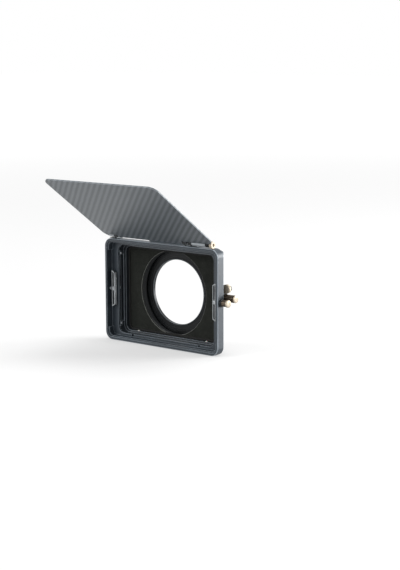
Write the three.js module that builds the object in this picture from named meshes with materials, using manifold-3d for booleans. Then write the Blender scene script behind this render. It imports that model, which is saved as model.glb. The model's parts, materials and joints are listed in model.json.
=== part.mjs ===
// Clip-on matte box: stepped filter frame, lens collar, raised top flag and sprung filter catches.
// Lengths are in millimetres. In the box group X runs to the viewer's right, Y runs back from the
// front rim plane, Z runs up, and the optical axis is the line X = 0, Z = 0.
import * as THREE from 'three';
import { mergeVertices } from 'three/addons/utils/BufferGeometryUtils.js';
import Module from 'manifold-3d';

const wasm = await Module();
wasm.setup();

// Driving dimensions
const gap = 0.3; // clearance between neighbouring pieces
const overrun = 2; // how far a cutter runs past a face
const mergeReach = 1e-4; // vertices closer than this are one
const front = {
  width: 172,
  height: 121,
  cornerRadius: 10,
  lip: 3, // wall at the mouth
  lipDepth: 1.6,
  stageDepth: 7.4, // back of the lip to the step face
  floor: 1.6, // thickness of the step face
  wall: 4.8, // wall behind the lip, outside the side recess
  recessInset: 14.5, // top face down to the side recess
};
const rear = {
  sideInset: 7.5, // the front frame's side to the rear frame's
  topInset: 4,
  cornerRadius: 9,
  stageWall: 5.5, // side wall of the second stage
  stageLedge: 3.7, // top and bottom wall of the second stage
  stageRadius: 8,
  stageDepth: 7.9,
  windowWall: 9, // side wall of the window step
  windowLedge: 6.2, // top and bottom wall of the window step
  windowRadius: 7,
  windowDepth: 4.8,
  slotInset: 12.8, // end of the side slot to the second stage's ledge
  slotDepth: 4.2,
  slotSetback: 0.9, // front face of the second stage to the slot
  slotEndWall: 0.6, // slot to the second stage's floor
  chamferReach: 3.5, // taken off the outer side edges at the back
  chamferDepth: 4,
};
const plate = { sideMargin: 5.2, topMargin: 0.3, cornerRadius: 7, thickness: 1.8, holeMargin: 0.9 };
const collar = {
  flangeReach: 1.6,
  flangeThickness: 2.6,
  wall: 4,
  length: 18.4,
  threadSetout: 0.2, // from the plate's hole
  threadHeight: 0.6,
  threadPitch: 1.6,
  threadTurns: 4,
  reliefTurns: 0.5, // plain length behind the last thread, in pitches
  boreSetout: 0.8, // from the thread's root
  shoulderReach: 3,
  shoulderThickness: 1.4,
  splitWidth: 2,
};
const flag = {
  sideMargin: 2.2, // the front frame's side to the panel's
  length: 127.4,
  thickness: 1.6,
  cornerRadius: 10,
  tilt: 35.4, // degrees above level, as photographed
  axisHeight: 4.4, // above the top face
  axisDepth: 1.2, // behind the rim plane
  drop: 1, // the panel's middle plane below the hinge axis
  nearReach: 1.6, // the near edge past the hinge axis
};
const facets = { corner: 6, small: 12, medium: 20, large: 48 };

// Levels that the stack of frames sets, counted back from the rim plane
const stepFace = front.lipDepth + front.stageDepth;
const stepBack = stepFace + front.floor;
const rearFront = stepBack + gap;
const rearFloor = rearFront + rear.stageDepth;
const rearBack = rearFloor + rear.windowDepth;
const plateFront = rearBack + gap;
const plateBack = plateFront + plate.thickness;
const collarFront = plateBack + gap;
const collarBack = collarFront + collar.length;

// Half sizes that the nested frames set, and the radii of the round opening behind them
const sideFace = front.width / 2;
const topFace = front.height / 2;
const rearSide = sideFace - rear.sideInset;
const rearTop = topFace - rear.topInset;
const stageHalfWidth = rearSide - rear.stageWall;
const stageHalfHeight = rearTop - rear.stageLedge;
const windowHalfWidth = rearSide - rear.windowWall;
const windowHalfHeight = rearTop - rear.windowLedge;
const slotHalfHeight = stageHalfHeight - rear.slotInset;
const holeRadius = windowHalfHeight - plate.holeMargin;
const threadRadius = holeRadius + collar.threadSetout;
const boreRadius = threadRadius + collar.boreSetout;
const tubeRadius = boreRadius + collar.wall;
const flangeRadius = tubeRadius + collar.flangeReach;
const shoulderRadius = threadRadius - collar.shoulderReach;

// Finishes
const finish = (color, roughness, metalness) =>
  new THREE.MeshStandardMaterial({ color, roughness, metalness });
const finishes = {
  slateShell: finish(0x30383e, 0.5, 0.1),
  flockedBlack: finish(0x1f211e, 0.9, 0),
  anodisedBlack: finish(0x1b1d20, 0.45, 0.6),
  carbon: finish(0x4a5055, 0.4, 0.2),
  brass: finish(0xd9c69a, 0.3, 0.9),
  bronze: finish(0x5b4a38, 0.5, 0.7),
  steel: finish(0xb9bcc0, 0.3, 0.9),
  blackSteel: finish(0x2a2b2d, 0.45, 0.8),
  greyAlloy: finish(0x6f757a, 0.4, 0.7),
  rubber: finish(0x202020, 0.85, 0),
  nylon: finish(0xf2f2ee, 0.35, 0),
};

// Shape helpers

// Merges a geometry's vertices, drops collapsed triangles and turns the faces outwards.
function closed(source) {
  const plain = source.clone();
  plain.deleteAttribute('normal');
  plain.deleteAttribute('uv');
  const merged = mergeVertices(plain, mergeReach);
  const place = merged.getAttribute('position');
  const corner = (index) => new THREE.Vector3().fromBufferAttribute(place, index);
  const kept = [];
  let volume = 0;
  for (let at = 0; at < merged.index.count; at += 3) {
    const [a, b, c] = [0, 1, 2].map((step) => merged.index.getX(at + step));
    if (a === b || b === c || c === a) continue;
    kept.push([a, b, c]);
    volume += corner(a).dot(corner(b).cross(corner(c)));
  }
  const faces = volume < 0 ? kept.map(([a, b, c]) => [a, c, b]) : kept;
  const result = new THREE.BufferGeometry();
  result.setAttribute('position', place);
  result.setIndex(faces.flat());
  return result;
}

function toSolid(geometry) {
  const body = closed(geometry);
  return new wasm.Manifold(new wasm.Mesh({
    numProp: 3,
    vertProperties: new Float32Array(body.getAttribute('position').array),
    triVerts: new Uint32Array(body.index.array),
  }));
}

function toGeometry(solid) {
  const mesh = solid.getMesh();
  const result = new THREE.BufferGeometry();
  result.setAttribute('position', new THREE.BufferAttribute(new Float32Array(mesh.vertProperties), 3));
  result.setIndex(Array.from(mesh.triVerts));
  return result;
}

const cut = (base, ...cutters) => cutters.reduce((rest, cutter) => rest.subtract(cutter), base);
const join = (base, ...extras) => extras.reduce((sum, extra) => sum.add(extra), base);

function roundedOutline(width, height, radius) {
  const [halfWidth, halfHeight] = [width / 2, height / 2];
  const shape = new THREE.Shape();
  shape.moveTo(-halfWidth + radius, -halfHeight);
  shape.lineTo(halfWidth - radius, -halfHeight);
  shape.absarc(halfWidth - radius, -halfHeight + radius, radius, -Math.PI / 2, 0);
  shape.lineTo(halfWidth, halfHeight - radius);
  shape.absarc(halfWidth - radius, halfHeight - radius, radius, 0, Math.PI / 2);
  shape.lineTo(-halfWidth + radius, halfHeight);
  shape.absarc(-halfWidth + radius, halfHeight - radius, radius, Math.PI / 2, Math.PI);
  shape.lineTo(-halfWidth, -halfHeight + radius);
  shape.absarc(-halfWidth + radius, -halfHeight + radius, radius, Math.PI, Math.PI * 1.5);
  return shape;
}

const polygon = (points) => new THREE.Shape(points.map(([x, y]) => new THREE.Vector2(x, y)));

// An outline drawn in X and Z, standing from one depth to a deeper one.
function slabY(shape, from, to, curveSegments = facets.corner) {
  const geometry = new THREE.ExtrudeGeometry(shape, {
    depth: to - from, bevelEnabled: false, curveSegments,
  });
  geometry.rotateX(Math.PI / 2);
  geometry.translate(0, to, 0);
  return toSolid(geometry);
}

// An outline drawn in Y and Z, standing from one X to a larger one.
function slabX(shape, from, to, curveSegments = facets.corner) {
  const geometry = new THREE.ExtrudeGeometry(shape, {
    depth: to - from, bevelEnabled: false, curveSegments,
  });
  geometry.applyMatrix4(new THREE.Matrix4().makeBasis(
    new THREE.Vector3(0, 1, 0), new THREE.Vector3(0, 0, 1), new THREE.Vector3(1, 0, 0),
  ));
  geometry.translate(from, 0, 0);
  return toSolid(geometry);
}

// An outline drawn in X and Y, standing from one height to a larger one.
function slabZ(shape, from, to, curveSegments = facets.corner) {
  const geometry = new THREE.ExtrudeGeometry(shape, {
    depth: to - from, bevelEnabled: false, curveSegments,
  });
  geometry.translate(0, 0, from);
  return toSolid(geometry);
}

function block([x0, x1], [y0, y1], [z0, z1]) {
  const geometry = new THREE.BoxGeometry(x1 - x0, y1 - y0, z1 - z0);
  geometry.translate((x0 + x1) / 2, (y0 + y1) / 2, (z0 + z1) / 2);
  return toSolid(geometry);
}

const turnTo = {
  x: (geometry) => geometry.rotateZ(-Math.PI / 2),
  y: (geometry) => geometry,
  z: (geometry) => geometry.rotateX(Math.PI / 2),
};

// A turned piece: [radius, place along the axis] points, about an axis through the given centre.
function turned(profile, axis, centre = [0, 0, 0], segments = facets.small) {
  const points = profile.map(([radius, along]) => new THREE.Vector2(radius, along));
  const geometry = turnTo[axis](new THREE.LatheGeometry(points, segments));
  geometry.translate(...centre);
  return toSolid(geometry);
}

function rod(radius, from, to, axis, centre, segments) {
  return turned([[0, from], [radius, from], [radius, to], [0, to]], axis, centre, segments);
}

function ring(outer, inner, from, to, axis, centre, segments) {
  const profile = [[inner, from], [outer, from], [outer, to], [inner, to], [inner, from]];
  return turned(profile, axis, centre, segments);
}

// A turned grip with a flat-bottomed groove between its ridges, and a bevel at both ends.
function knurled({ radius, depth, count, bevel }, from, to, axis, centre) {
  const shape = new THREE.Shape();
  const step = (Math.PI * 2) / count;
  const cornerShares = [0, 0.4, 0.5, 0.9]; // of one ridge and one groove
  for (let ridge = 0; ridge < count; ridge += 1) {
    cornerShares.forEach((share, index) => {
      const reach = index < 2 ? radius : radius - depth;
      const angle = (ridge + share) * step;
      const point = [reach * Math.cos(angle), reach * Math.sin(angle)];
      if (ridge + index === 0) shape.moveTo(...point);
      else shape.lineTo(...point);
    });
  }
  const geometry = new THREE.ExtrudeGeometry(shape, { depth: to - from, bevelEnabled: false });
  geometry.rotateX(-Math.PI / 2);
  geometry.translate(0, from, 0);
  turnTo[axis](geometry);
  geometry.translate(...centre);
  const envelope = turned([
    [0, from], [radius - bevel, from], [radius, from + bevel],
    [radius, to - bevel], [radius - bevel, to], [0, to],
  ], axis, centre, count * 2);
  return toSolid(geometry).intersect(envelope);
}

// A helical spring: one unbroken tube with flat-cut ends, and the least gap between its turns.
function spring({ name, coilRadius, wireRadius, turns, length }, axis, centre) {
  const [stepsPerCurl, sides] = [8, 5];
  const steps = stepsPerCurl * turns;
  const rise = (length - wireRadius * 2) / steps;
  const middle = (step) => {
    const angle = (step / stepsPerCurl) * Math.PI * 2;
    return new THREE.Vector3(
      coilRadius * Math.cos(angle), wireRadius + rise * step, coilRadius * Math.sin(angle),
    );
  };
  const positions = [];
  const faces = [];
  for (let step = 0; step <= steps; step += 1) {
    const centreLine = middle(step);
    const outward = new THREE.Vector3(centreLine.x, 0, centreLine.z).normalize();
    for (let side = 0; side < sides; side += 1) {
      const angle = (side / sides) * Math.PI * 2;
      const point = centreLine.clone()
        .addScaledVector(outward, wireRadius * Math.cos(angle))
        .add(new THREE.Vector3(0, wireRadius * Math.sin(angle), 0));
      positions.push(point.x, point.y, point.z);
      if (step === steps) continue;
      const [here, next] = [step * sides + side, step * sides + ((side + 1) % sides)];
      faces.push(here, here + sides, next, next, here + sides, next + sides);
    }
  }
  for (let side = 1; side < sides - 1; side += 1) {
    const last = steps * sides;
    faces.push(0, side, side + 1);
    faces.push(last, last + side + 1, last + side);
  }
  let least = Infinity;
  for (let step = 0; step <= steps; step += 1) {
    for (let other = step + stepsPerCurl / 2; other <= steps; other += 1) {
      least = Math.min(least, middle(step).distanceTo(middle(other)) - wireRadius * 2);
    }
  }
  console.log(`${name}: least gap to itself ${least.toFixed(2)} mm`);
  const geometry = new THREE.BufferGeometry();
  geometry.setAttribute('position', new THREE.Float32BufferAttribute(positions, 3));
  geometry.setIndex(faces);
  turnTo[axis](geometry);
  geometry.translate(...centre);
  return geometry;
}

const box = new THREE.Group();

function add(name, part, material, parent = box) {
  const geometry = part.isBufferGeometry ? closed(part) : toGeometry(part);
  const flat = geometry.toNonIndexed();
  flat.computeVertexNormals();
  const mesh = new THREE.Mesh(flat, finishes[material]);
  mesh.name = name;
  parent.add(mesh);
  return mesh;
}

// Identical pieces, one mesh each, numbered from 1.
function addEach(name, places, make, material, parent = box) {
  places.forEach((place, index) => add(`${name}_${index + 1}`, make(place), material, parent));
}

// A screw along an axis: a low head with a bevelled edge and a plain shank.
function screw({ headRadius, headHeight, shankRadius, bevel }, headBase, shankEnd, axis, centre) {
  const away = Math.sign(headBase - shankEnd);
  return turned([
    [0, shankEnd], [shankRadius, shankEnd], [shankRadius, headBase], [headRadius, headBase],
    [headRadius, headBase + away * (headHeight - bevel)],
    [headRadius - bevel, headBase + away * headHeight], [0, headBase + away * headHeight],
  ], axis, centre, facets.small);
}

// Fasteners and catches, with the places that the frames are drilled for
const frameScrew = { headRadius: 1.7, headHeight: 1, shankRadius: 0.9, bevel: 0.3, inset: 18.5, drop: 2.1 };
const sideScrew = { headRadius: 1.3, headHeight: 0.9, shankRadius: 0.7, bevel: 0.3, grip: 4 };
const railScrew = { headRadius: 2.3, headHeight: 1.3, shankRadius: 1.2, bevel: 0.3, grip: 3, endInset: 8 };
const bracketScrew = { headRadius: 2, headHeight: 1, shankRadius: 1.1, bevel: 0.3, grip: 3.2, depth: 7 };
const clip = {
  frontClearance: 2.5, // back of the lip to the bar
  rearClearance: 0.9, // bar to the step face
  baseHalfLength: 21.8,
  faceHalfLength: 19.2,
  thickness: 4.2,
  shell: 0.9,
  reach: 11, // from the frame's side face in to the bar's free face
  ribWidth: 4.4,
  stemRadius: 1.1,
  stemGrip: 2.6, // stem inside the bar's rib
  headRadius: 2.1,
  headLength: 0.9,
  headRecess: 1.6,
};
const clipSpring = { coilRadius: 2, wireRadius: 0.2, turns: 3 };
const clipHousing = {
  ringRadius: 4.4, ringLength: 2, radius: 3.7, length: 5.9, bore: 2.7, endWall: 1.1,
  collarLength: 0.8, capRadius: 4.2, capLength: 2.4, bevel: 0.5, knurlDepth: 0.3, knurls: 14,
};
const latch = {
  setback: 6.1, // the rear frame's front face to the pin's axis
  height: 4,
  pinRadius: 1.3,
  reach: 4.2, // from the rear frame's side in to the pin's tip
  length: 15.4,
  radius: 4.3,
  bore: 2.8,
  endWall: 1.2,
  collarRadius: 2.4,
  collarLength: 1.2,
  capRadius: 4.2,
  capLength: 1.8,
  bevel: 0.5,
  knurlDepth: 0.4,
  knurls: 14,
};
const bracket = {
  thickness: 2.4, front: 1.5, bottom: -2.8, corner: 1.2, screwSetback: 11, screwInset: 1.9,
  lugRadius: 3.5, lugThickness: 2.6,
};
const thumb = {
  height: 14.2, setout: 5.7, setback: 5.1, radius: 5.2, length: 4.4, shankRadius: 1.7, shankLength: 3.2,
  bevel: 0.5, knurlDepth: 0.35, knurls: 14, grooveSetback: 0.6, grooveWidth: 0.6, grooveDepth: 0.7,
};
const stagePin = {
  setback: 3.1, radius: 1.9, bevel: 0.6, proud: 2.2, housingRadius: 3.3, housingLength: 4,
  bore: 2.7, endWall: 1, collarRadius: 2.4, collarLength: 0.9,
};
const ball = {
  radius: 1.3, fit: 0.25, boreDepth: 4.5, sideProud: 2.2, slotMargin: 2, sideSetback: 1.9,
  bottomProud: 0.9, bottomInset: 17.5, bossRadius: 3.2, bossHeight: 1.2,
};
const rightHinge = { radius: 2.9, pinRadius: 1.6, earRadius: 3, inset: 48.5, sleeve: 19.5, baseRun: 6.6 };
const leftHinge = { radius: 2.2, pinRadius: 1, earRadius: 2.2, inset: 8, sleeve: 7.7 };
const hinge = {
  pinHeadLength: 2, leafThickness: 1, leafReach: 12.5, leafLap: 0.95,
  earThickness: 3, earSpacing: 5.4, earBack: 6.4,
  baseThickness: 0.8, baseFront: 1.4, baseBack: 10.2, baseMargin: 1,
  washerRadius: 3, washerLength: 6.3, washerGrooves: 4, washerGrooveDepth: 0.5,
  knobRadius: 4.1, knobLength: 3.5, knobBevel: 0.6, socketRadius: 1.9, socketDepth: 1.4, pinShort: 0.6,
  notchClearance: 0.6, notchCorner: 3, notchMargin: 0.9,
  rivetRadius: 1, rivetHeadRadius: 1.9, rivetHeadHeight: 0.6, rivetReach: 9.4, rivetInset: 5.2,
  rivetFloor: 0.5, // panel left below a rivet
};
const rail = {
  halfLength: 26, setback: 0.7, baseDepth: 11.4, baseHeight: 4.1, neckInset: 1.9, neckHeight: 1.8,
  headHeight: 4.3, headInset: 0.5, headBevel: 1.3, boreRadius: 2.7, boreDepth: 2.4,
};
const gasket = { width: 2.4, thickness: 0.9 };
const stepRing = {
  width: 10.7, lipWidth: 0.8, lipHeight: 1.1, thickness: 2.1, grooves: 3, groovePitch: 2.6,
  grooveWidth: 0.7, grooveDepth: 0.4, grooveSetout: 3,
};
const grip = { thickness: 2.6, length: 6.4, ribs: 2, ribHeight: 0.5 };
const clamp = {
  lugReach: 6.4, lugSink: 2.5, front: 5.6, length: 8, halfHeight: 6, screwSetout: 3.4,
  shankRadius: 1.3, headRadius: 2.8, headHeight: 2.2, bevel: 0.4, socketRadius: 1.3, socketDepth: 1.2,
  nutRadius: 2.7, nutHeight: 2,
};
const notch = { inset: 22, width: 5, height: 2.6, slant: 1.6 };

const mirrored = [-1, 1];
const frameScrewPlaces = mirrored.flatMap((side) => mirrored.map((level) => [
  side * (rearSide - frameScrew.inset), 0, level * (rearTop - frameScrew.drop),
]));
const sideScrewPlaces = [
  bracket.bottom + bracket.screwInset, thumb.height - bracket.lugRadius - bracket.screwInset,
];
const railFront = rearFront + rail.setback;
const railScrewPlaces = mirrored.map((side) => [
  side * (rail.halfLength - railScrew.endInset), railFront + rail.baseDepth / 2, 0,
]);
const bracketFront = rearFront + bracket.front;
const bracketScrewDepth = rearFront + bracket.screwSetback;

const barSpan = [front.lipDepth + clip.frontClearance, stepFace - clip.rearClearance];
const clipDepth = (barSpan[0] + barSpan[1]) / 2;
const clipLine = [0, clipDepth, 0];
const latchLine = [0, rearFront + latch.setback, latch.height];
const stagePinLine = [0, rearFront + stagePin.setback, 0];

// Hinge stations along X, from the two ears out to the tension knob
const earStart = sideFace - rightHinge.inset;
const earOne = [earStart, earStart + hinge.earThickness];
const earTwo = [earOne[1] + hinge.earSpacing, earOne[1] + hinge.earSpacing + hinge.earThickness];
const rightSleeve = [earTwo[1] + gap, earTwo[1] + gap + rightHinge.sleeve];
const washerSpan = [rightSleeve[1] + gap, rightSleeve[1] + gap + hinge.washerLength];
const knobSpan = [washerSpan[1] + gap, washerSpan[1] + gap + hinge.knobLength];
const leftStart = leftHinge.inset - sideFace;
const leftSleeve = [leftStart, leftStart + leftHinge.sleeve];
const leftEar = [leftSleeve[1] + gap, leftSleeve[1] + gap + hinge.earThickness];
const hingeHeight = topFace + flag.axisHeight;
const hingeAxis = [0, flag.axisDepth, hingeHeight];
const bracketBase = [topFace + gap, topFace + gap + hinge.baseThickness];
const rightBase = [earOne[0] - hinge.baseMargin, earTwo[1] + rightHinge.baseRun];
const leftBase = [leftSleeve[0] - hinge.baseMargin, leftEar[1] + hinge.baseMargin];
const bracketScrewPlaces = [
  (earOne[1] + earTwo[0]) / 2,
  rightBase[1] - bracketScrew.headRadius - hinge.baseMargin,
  (leftSleeve[0] + leftSleeve[1]) / 2,
].map((x) => [x, bracketScrew.depth, 0]);

// Ball tips: four at the ends of the side slots and two in the bottom of the window step
const ballPlaces = [
  ...mirrored.flatMap((side) => mirrored.map((level) => ({
    name: `ball_${side < 0 ? 'left' : 'right'}_${level > 0 ? 'upper' : 'lower'}`,
    axis: 'x',
    centre: [0, rearFront + ball.sideSetback, level * (slotHalfHeight + ball.slotMargin)],
    outward: side,
    face: stageHalfWidth,
    proud: ball.sideProud,
  }))),
  ...mirrored.map((side) => ({
    name: `ball_bottom_${side < 0 ? 'left' : 'right'}`,
    axis: 'z',
    centre: [side * (windowHalfWidth - ball.bottomInset), (rearFloor + rearBack) / 2, 0],
    outward: -1,
    face: windowHalfHeight,
    proud: ball.bottomProud,
  })),
];
const along = (...ends) => ends.sort((a, b) => a - b);

// Front frame: rim, first stage with side recesses, and the step face with two finger notches
{
  const mouth = roundedOutline(
    front.width - front.lip * 2, front.height - front.lip * 2, front.cornerRadius - front.lip,
  );
  const stage = roundedOutline(
    front.width - front.wall * 2, front.height - front.wall * 2, front.cornerRadius - front.wall,
  );
  const step = roundedOutline(stageHalfWidth * 2, stageHalfHeight * 2, rear.stageRadius);
  const recessX = sideFace - front.lip;
  const recessHalfHeight = topFace - front.recessInset;
  const notchMiddle = stageHalfWidth - notch.inset;
  const stemHole = clip.stemRadius + gap;
  const notches = mirrored.map((side) => slabY(polygon([
    [side * notchMiddle - notch.width / 2, -stageHalfHeight - notch.height],
    [side * notchMiddle + notch.width / 2 - notch.slant, -stageHalfHeight - notch.height],
    [side * notchMiddle + notch.width / 2, -stageHalfHeight + gap],
    [side * notchMiddle - notch.width / 2 + notch.slant, -stageHalfHeight + gap],
  ]), stepFace - overrun, stepBack + overrun));
  add('front_frame', cut(
    slabY(roundedOutline(front.width, front.height, front.cornerRadius), 0, stepBack),
    slabY(mouth, -overrun, front.lipDepth),
    slabY(stage, 0, stepFace),
    slabY(step, 0, stepBack + overrun),
    block([-recessX, recessX], [front.lipDepth, stepFace],
      [-recessHalfHeight, recessHalfHeight]),
    rod(stemHole, -sideFace - overrun, sideFace + overrun, 'x', clipLine),
    rod(clip.headRadius + gap, -sideFace - overrun, -sideFace + clip.headRecess, 'x', clipLine),
    ...notches,
    ...frameScrewPlaces.map((place) => rod(
      frameScrew.shankRadius + gap, stepFace + gap, stepBack + overrun, 'y', place,
    )),
    ...bracketScrewPlaces.map((place) => rod(
      bracketScrew.shankRadius + gap, topFace - bracketScrew.grip - gap, topFace + overrun, 'z', place,
    )),
  ), 'slateShell');
}

// Rear frame: second stage with side slots, then the window step
{
  const stage = roundedOutline(stageHalfWidth * 2, stageHalfHeight * 2, rear.stageRadius);
  const window = roundedOutline(windowHalfWidth * 2, windowHalfHeight * 2, rear.windowRadius);
  const slotX = stageHalfWidth + rear.slotDepth;
  const inside = stageHalfWidth - overrun;
  const shell = cut(
    slabY(roundedOutline(rearSide * 2, rearTop * 2, rear.cornerRadius), rearFront, rearBack),
    slabY(stage, rearFront - overrun, rearFloor),
    slabY(window, rearFront, rearBack + overrun),
    ...mirrored.map((side) => slabZ(polygon([
      [side * rearSide, rearBack - rear.chamferDepth],
      [side * (rearSide - rear.chamferReach), rearBack],
      [side * (rearSide - rear.chamferReach), rearBack + overrun],
      [side * (rearSide + overrun), rearBack + overrun],
      [side * (rearSide + overrun), rearBack - rear.chamferDepth],
    ]), -rearTop - overrun, rearTop + overrun)),
  );
  const bosses = ballPlaces.filter(({ axis }) => axis === 'x').map(({ axis, centre, outward, face }) => rod(
    ball.bossRadius, ...along(outward * (face - ball.bossHeight), outward * (face + overrun)), axis, centre,
    facets.medium,
  ));
  add('rear_frame', cut(
    join(shell, ...bosses),
    block([-rearSide, rearSide], [stepFace - overrun, rearFront], [-rearTop, rearTop]),
    block([-slotX, slotX], [rearFront + rear.slotSetback, rearFloor - rear.slotEndWall],
      [-slotHalfHeight, slotHalfHeight]),
    rod(latch.pinRadius + gap, inside, rearSide + overrun, 'x', latchLine),
    rod(stagePin.radius + gap, -rearSide - overrun, -inside, 'x', stagePinLine),
    ...ballPlaces.map(({ axis, centre, outward, face }) => rod(
      ball.radius + ball.fit, ...along(outward * (face - overrun), outward * (face + ball.boreDepth)),
      axis, centre,
    )),
    ...frameScrewPlaces.map((place) => rod(
      frameScrew.shankRadius + gap, rearFront - overrun, rearBack + overrun, 'y', place,
    )),
    ...sideScrewPlaces.map((height) => rod(
      sideScrew.shankRadius + gap, rearSide - sideScrew.grip - gap, rearSide + overrun,
      'x', [0, bracketScrewDepth, height],
    )),
    ...railScrewPlaces.map((place) => rod(
      railScrew.shankRadius + gap, rearTop - railScrew.grip - gap, rearTop + overrun, 'z', place,
    )),
  ), 'slateShell');
}

// Window gasket: a thin rounded frame lying in the back of the window step
{
  const outer = [windowHalfWidth - gap, windowHalfHeight - gap];
  const inner = outer.map((half) => half - gasket.width);
  add('window_gasket', cut(
    slabY(roundedOutline(outer[0] * 2, outer[1] * 2, rear.windowRadius - gap),
      rearBack - gasket.thickness, rearBack),
    slabY(roundedOutline(inner[0] * 2, inner[1] * 2, rear.windowRadius - gap - gasket.width),
      rearBack - gasket.thickness - overrun, rearBack + overrun),
  ), 'rubber');
}

// Back plate, with the round opening that the collar stands behind
add('back_plate', cut(
  slabY(roundedOutline((rearSide - plate.sideMargin) * 2, (rearTop - plate.topMargin) * 2,
    plate.cornerRadius), plateFront, plateBack),
  rod(holeRadius, plateFront - overrun, plateBack + overrun, 'y', [0, 0, 0], facets.large),
  ...frameScrewPlaces.map((place) => rod(
    frameScrew.shankRadius + gap, plateFront - overrun, plateBack + overrun, 'y', place,
  )),
), 'flockedBlack');

addEach('frame_screw', frameScrewPlaces, (place) => screw(
  frameScrew, plateBack + gap, stepFace + gap * 2, 'y', place,
), 'steel');

// Lens collar: flange, inner thread lines, shoulder, rear bore, and a clamped split at the right
const flangeBack = collarFront + collar.flangeThickness;
const threadBack = collarFront + collar.threadPitch * (collar.threadTurns + collar.reliefTurns);
const ringFront = threadBack + gap;
const shoulderFront = ringFront + stepRing.thickness + gap;
const shoulderBack = shoulderFront + collar.shoulderThickness;
const clampCentre = [tubeRadius + clamp.screwSetout, flangeBack + clamp.front, 0];
{
  const threads = [];
  for (let turn = collar.threadTurns; turn > 0; turn -= 1) {
    const root = collarFront + turn * collar.threadPitch;
    threads.push([threadRadius, root]);
    threads.push([threadRadius - collar.threadHeight, root - collar.threadPitch / 2]);
  }
  const bevel = clamp.bevel * 2;
  const body = turned([
    [threadRadius, collarFront],
    [flangeRadius, collarFront],
    [flangeRadius, flangeBack],
    [tubeRadius, flangeBack],
    [tubeRadius, collarBack - bevel],
    [tubeRadius - bevel, collarBack],
    [boreRadius, collarBack],
    [boreRadius, shoulderBack],
    [shoulderRadius, shoulderBack],
    [shoulderRadius, shoulderFront],
    [threadRadius, shoulderFront],
    ...threads,
    [threadRadius, collarFront],
  ], 'y', [0, 0, 0], facets.large);
  const lugOuter = tubeRadius + clamp.lugReach;
  const lug = block([tubeRadius - clamp.lugSink, lugOuter],
    [clampCentre[1] - clamp.length / 2, clampCentre[1] + clamp.length / 2],
    [-clamp.halfHeight, clamp.halfHeight]);
  const split = block([shoulderRadius - overrun, lugOuter + overrun],
    [flangeBack + gap, collarBack + overrun], [-collar.splitWidth / 2, collar.splitWidth / 2]);
  add('lens_collar', cut(
    join(body, lug),
    split,
    rod(clamp.shankRadius + gap, -clamp.halfHeight - overrun, clamp.halfHeight + overrun, 'z', clampCentre),
  ), 'anodisedBlack');
  const nutTop = -clamp.halfHeight - gap;
  const nutBottom = nutTop - clamp.nutHeight;
  add('clamp_screw', cut(
    screw(clamp, clamp.halfHeight + gap, nutBottom, 'z', clampCentre),
    rod(clamp.socketRadius, clamp.halfHeight + gap + clamp.headHeight - clamp.socketDepth,
      clamp.halfHeight + clamp.headHeight + overrun, 'z', clampCentre, 6),
  ), 'steel');
  add('clamp_nut', cut(
    rod(clamp.nutRadius, nutBottom, nutTop, 'z', clampCentre, 6),
    rod(clamp.shankRadius + gap, nutBottom - overrun, nutTop + overrun, 'z', clampCentre),
  ), 'steel');
}

// Step ring with its raised bright lip and turned grooves, seated on the collar's shoulder
{
  const ringBack = ringFront + stepRing.thickness;
  const outer = threadRadius - collar.threadHeight - gap;
  const lipRadius = outer - stepRing.width;
  const grooves = [];
  for (let index = 0; index < stepRing.grooves; index += 1) {
    const start = lipRadius + stepRing.grooveSetout + index * stepRing.groovePitch;
    grooves.push([start, ringFront], [start, ringFront + stepRing.grooveDepth]);
    grooves.push([start + stepRing.grooveWidth, ringFront + stepRing.grooveDepth]);
    grooves.push([start + stepRing.grooveWidth, ringFront]);
  }
  const lipFront = ringFront - stepRing.lipHeight;
  add('step_ring', turned([
    [lipRadius, lipFront],
    [lipRadius + stepRing.lipWidth, lipFront],
    [lipRadius + stepRing.lipWidth * 2, ringFront],
    ...grooves,
    [outer, ringFront],
    [outer, ringBack],
    [lipRadius, ringBack],
    [lipRadius, lipFront],
  ], 'y', [0, 0, 0], facets.large), 'anodisedBlack');
}

// Rubber grip ring that closes on the lens's front rim
{
  const [from, to] = [shoulderBack + gap, shoulderBack + gap + grip.length];
  const outer = boreRadius - gap;
  const bore = outer - grip.thickness;
  const pitch = grip.length / grip.ribs;
  const ribs = [];
  for (let index = grip.ribs; index > 0; index -= 1) {
    const middle = from + (index - 0.5) * pitch;
    ribs.push([bore + grip.ribHeight, middle + pitch / 2], [bore, middle]);
  }
  add('grip_ring', turned([
    [bore + grip.ribHeight, from], [outer, from], [outer, to], ...ribs,
    [bore + grip.ribHeight, from],
  ], 'y', [0, 0, 0], facets.large), 'rubber');
}

// Left and right clip bars: shallow tapered trays on short stems
function clipBar(side) {
  const [faceX, baseX] = [sideFace - clip.reach, sideFace - clip.reach + clip.thickness];
  const tray = (inset) => polygon([
    [side * (baseX - inset), -clip.baseHalfLength + inset * 2],
    [side * (faceX + inset), -clip.faceHalfLength + inset],
    [side * (faceX + inset), clip.faceHalfLength - inset],
    [side * (baseX - inset), clip.baseHalfLength - inset * 2],
  ]);
  const [near, far] = barSpan;
  const rib = block([Math.min(side * faceX, side * baseX), Math.max(side * faceX, side * baseX)],
    [near + gap, far], [-clip.ribWidth / 2, clip.ribWidth / 2]);
  const hollow = cut(slabY(tray(0), near, far), slabY(tray(clip.shell), near - overrun, far - clip.shell));
  const stemEnd = side * (baseX - clip.stemGrip - gap);
  const mouth = side * (baseX + overrun);
  return cut(join(hollow, rib), rod(
    clip.stemRadius + gap, Math.min(stemEnd, mouth), Math.max(stemEnd, mouth), 'x', clipLine,
  ));
}
const barBase = sideFace - clip.reach + clip.thickness;
const stemTip = barBase - clip.stemGrip;
add('left_clip_bar', clipBar(-1), 'greyAlloy');
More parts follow.
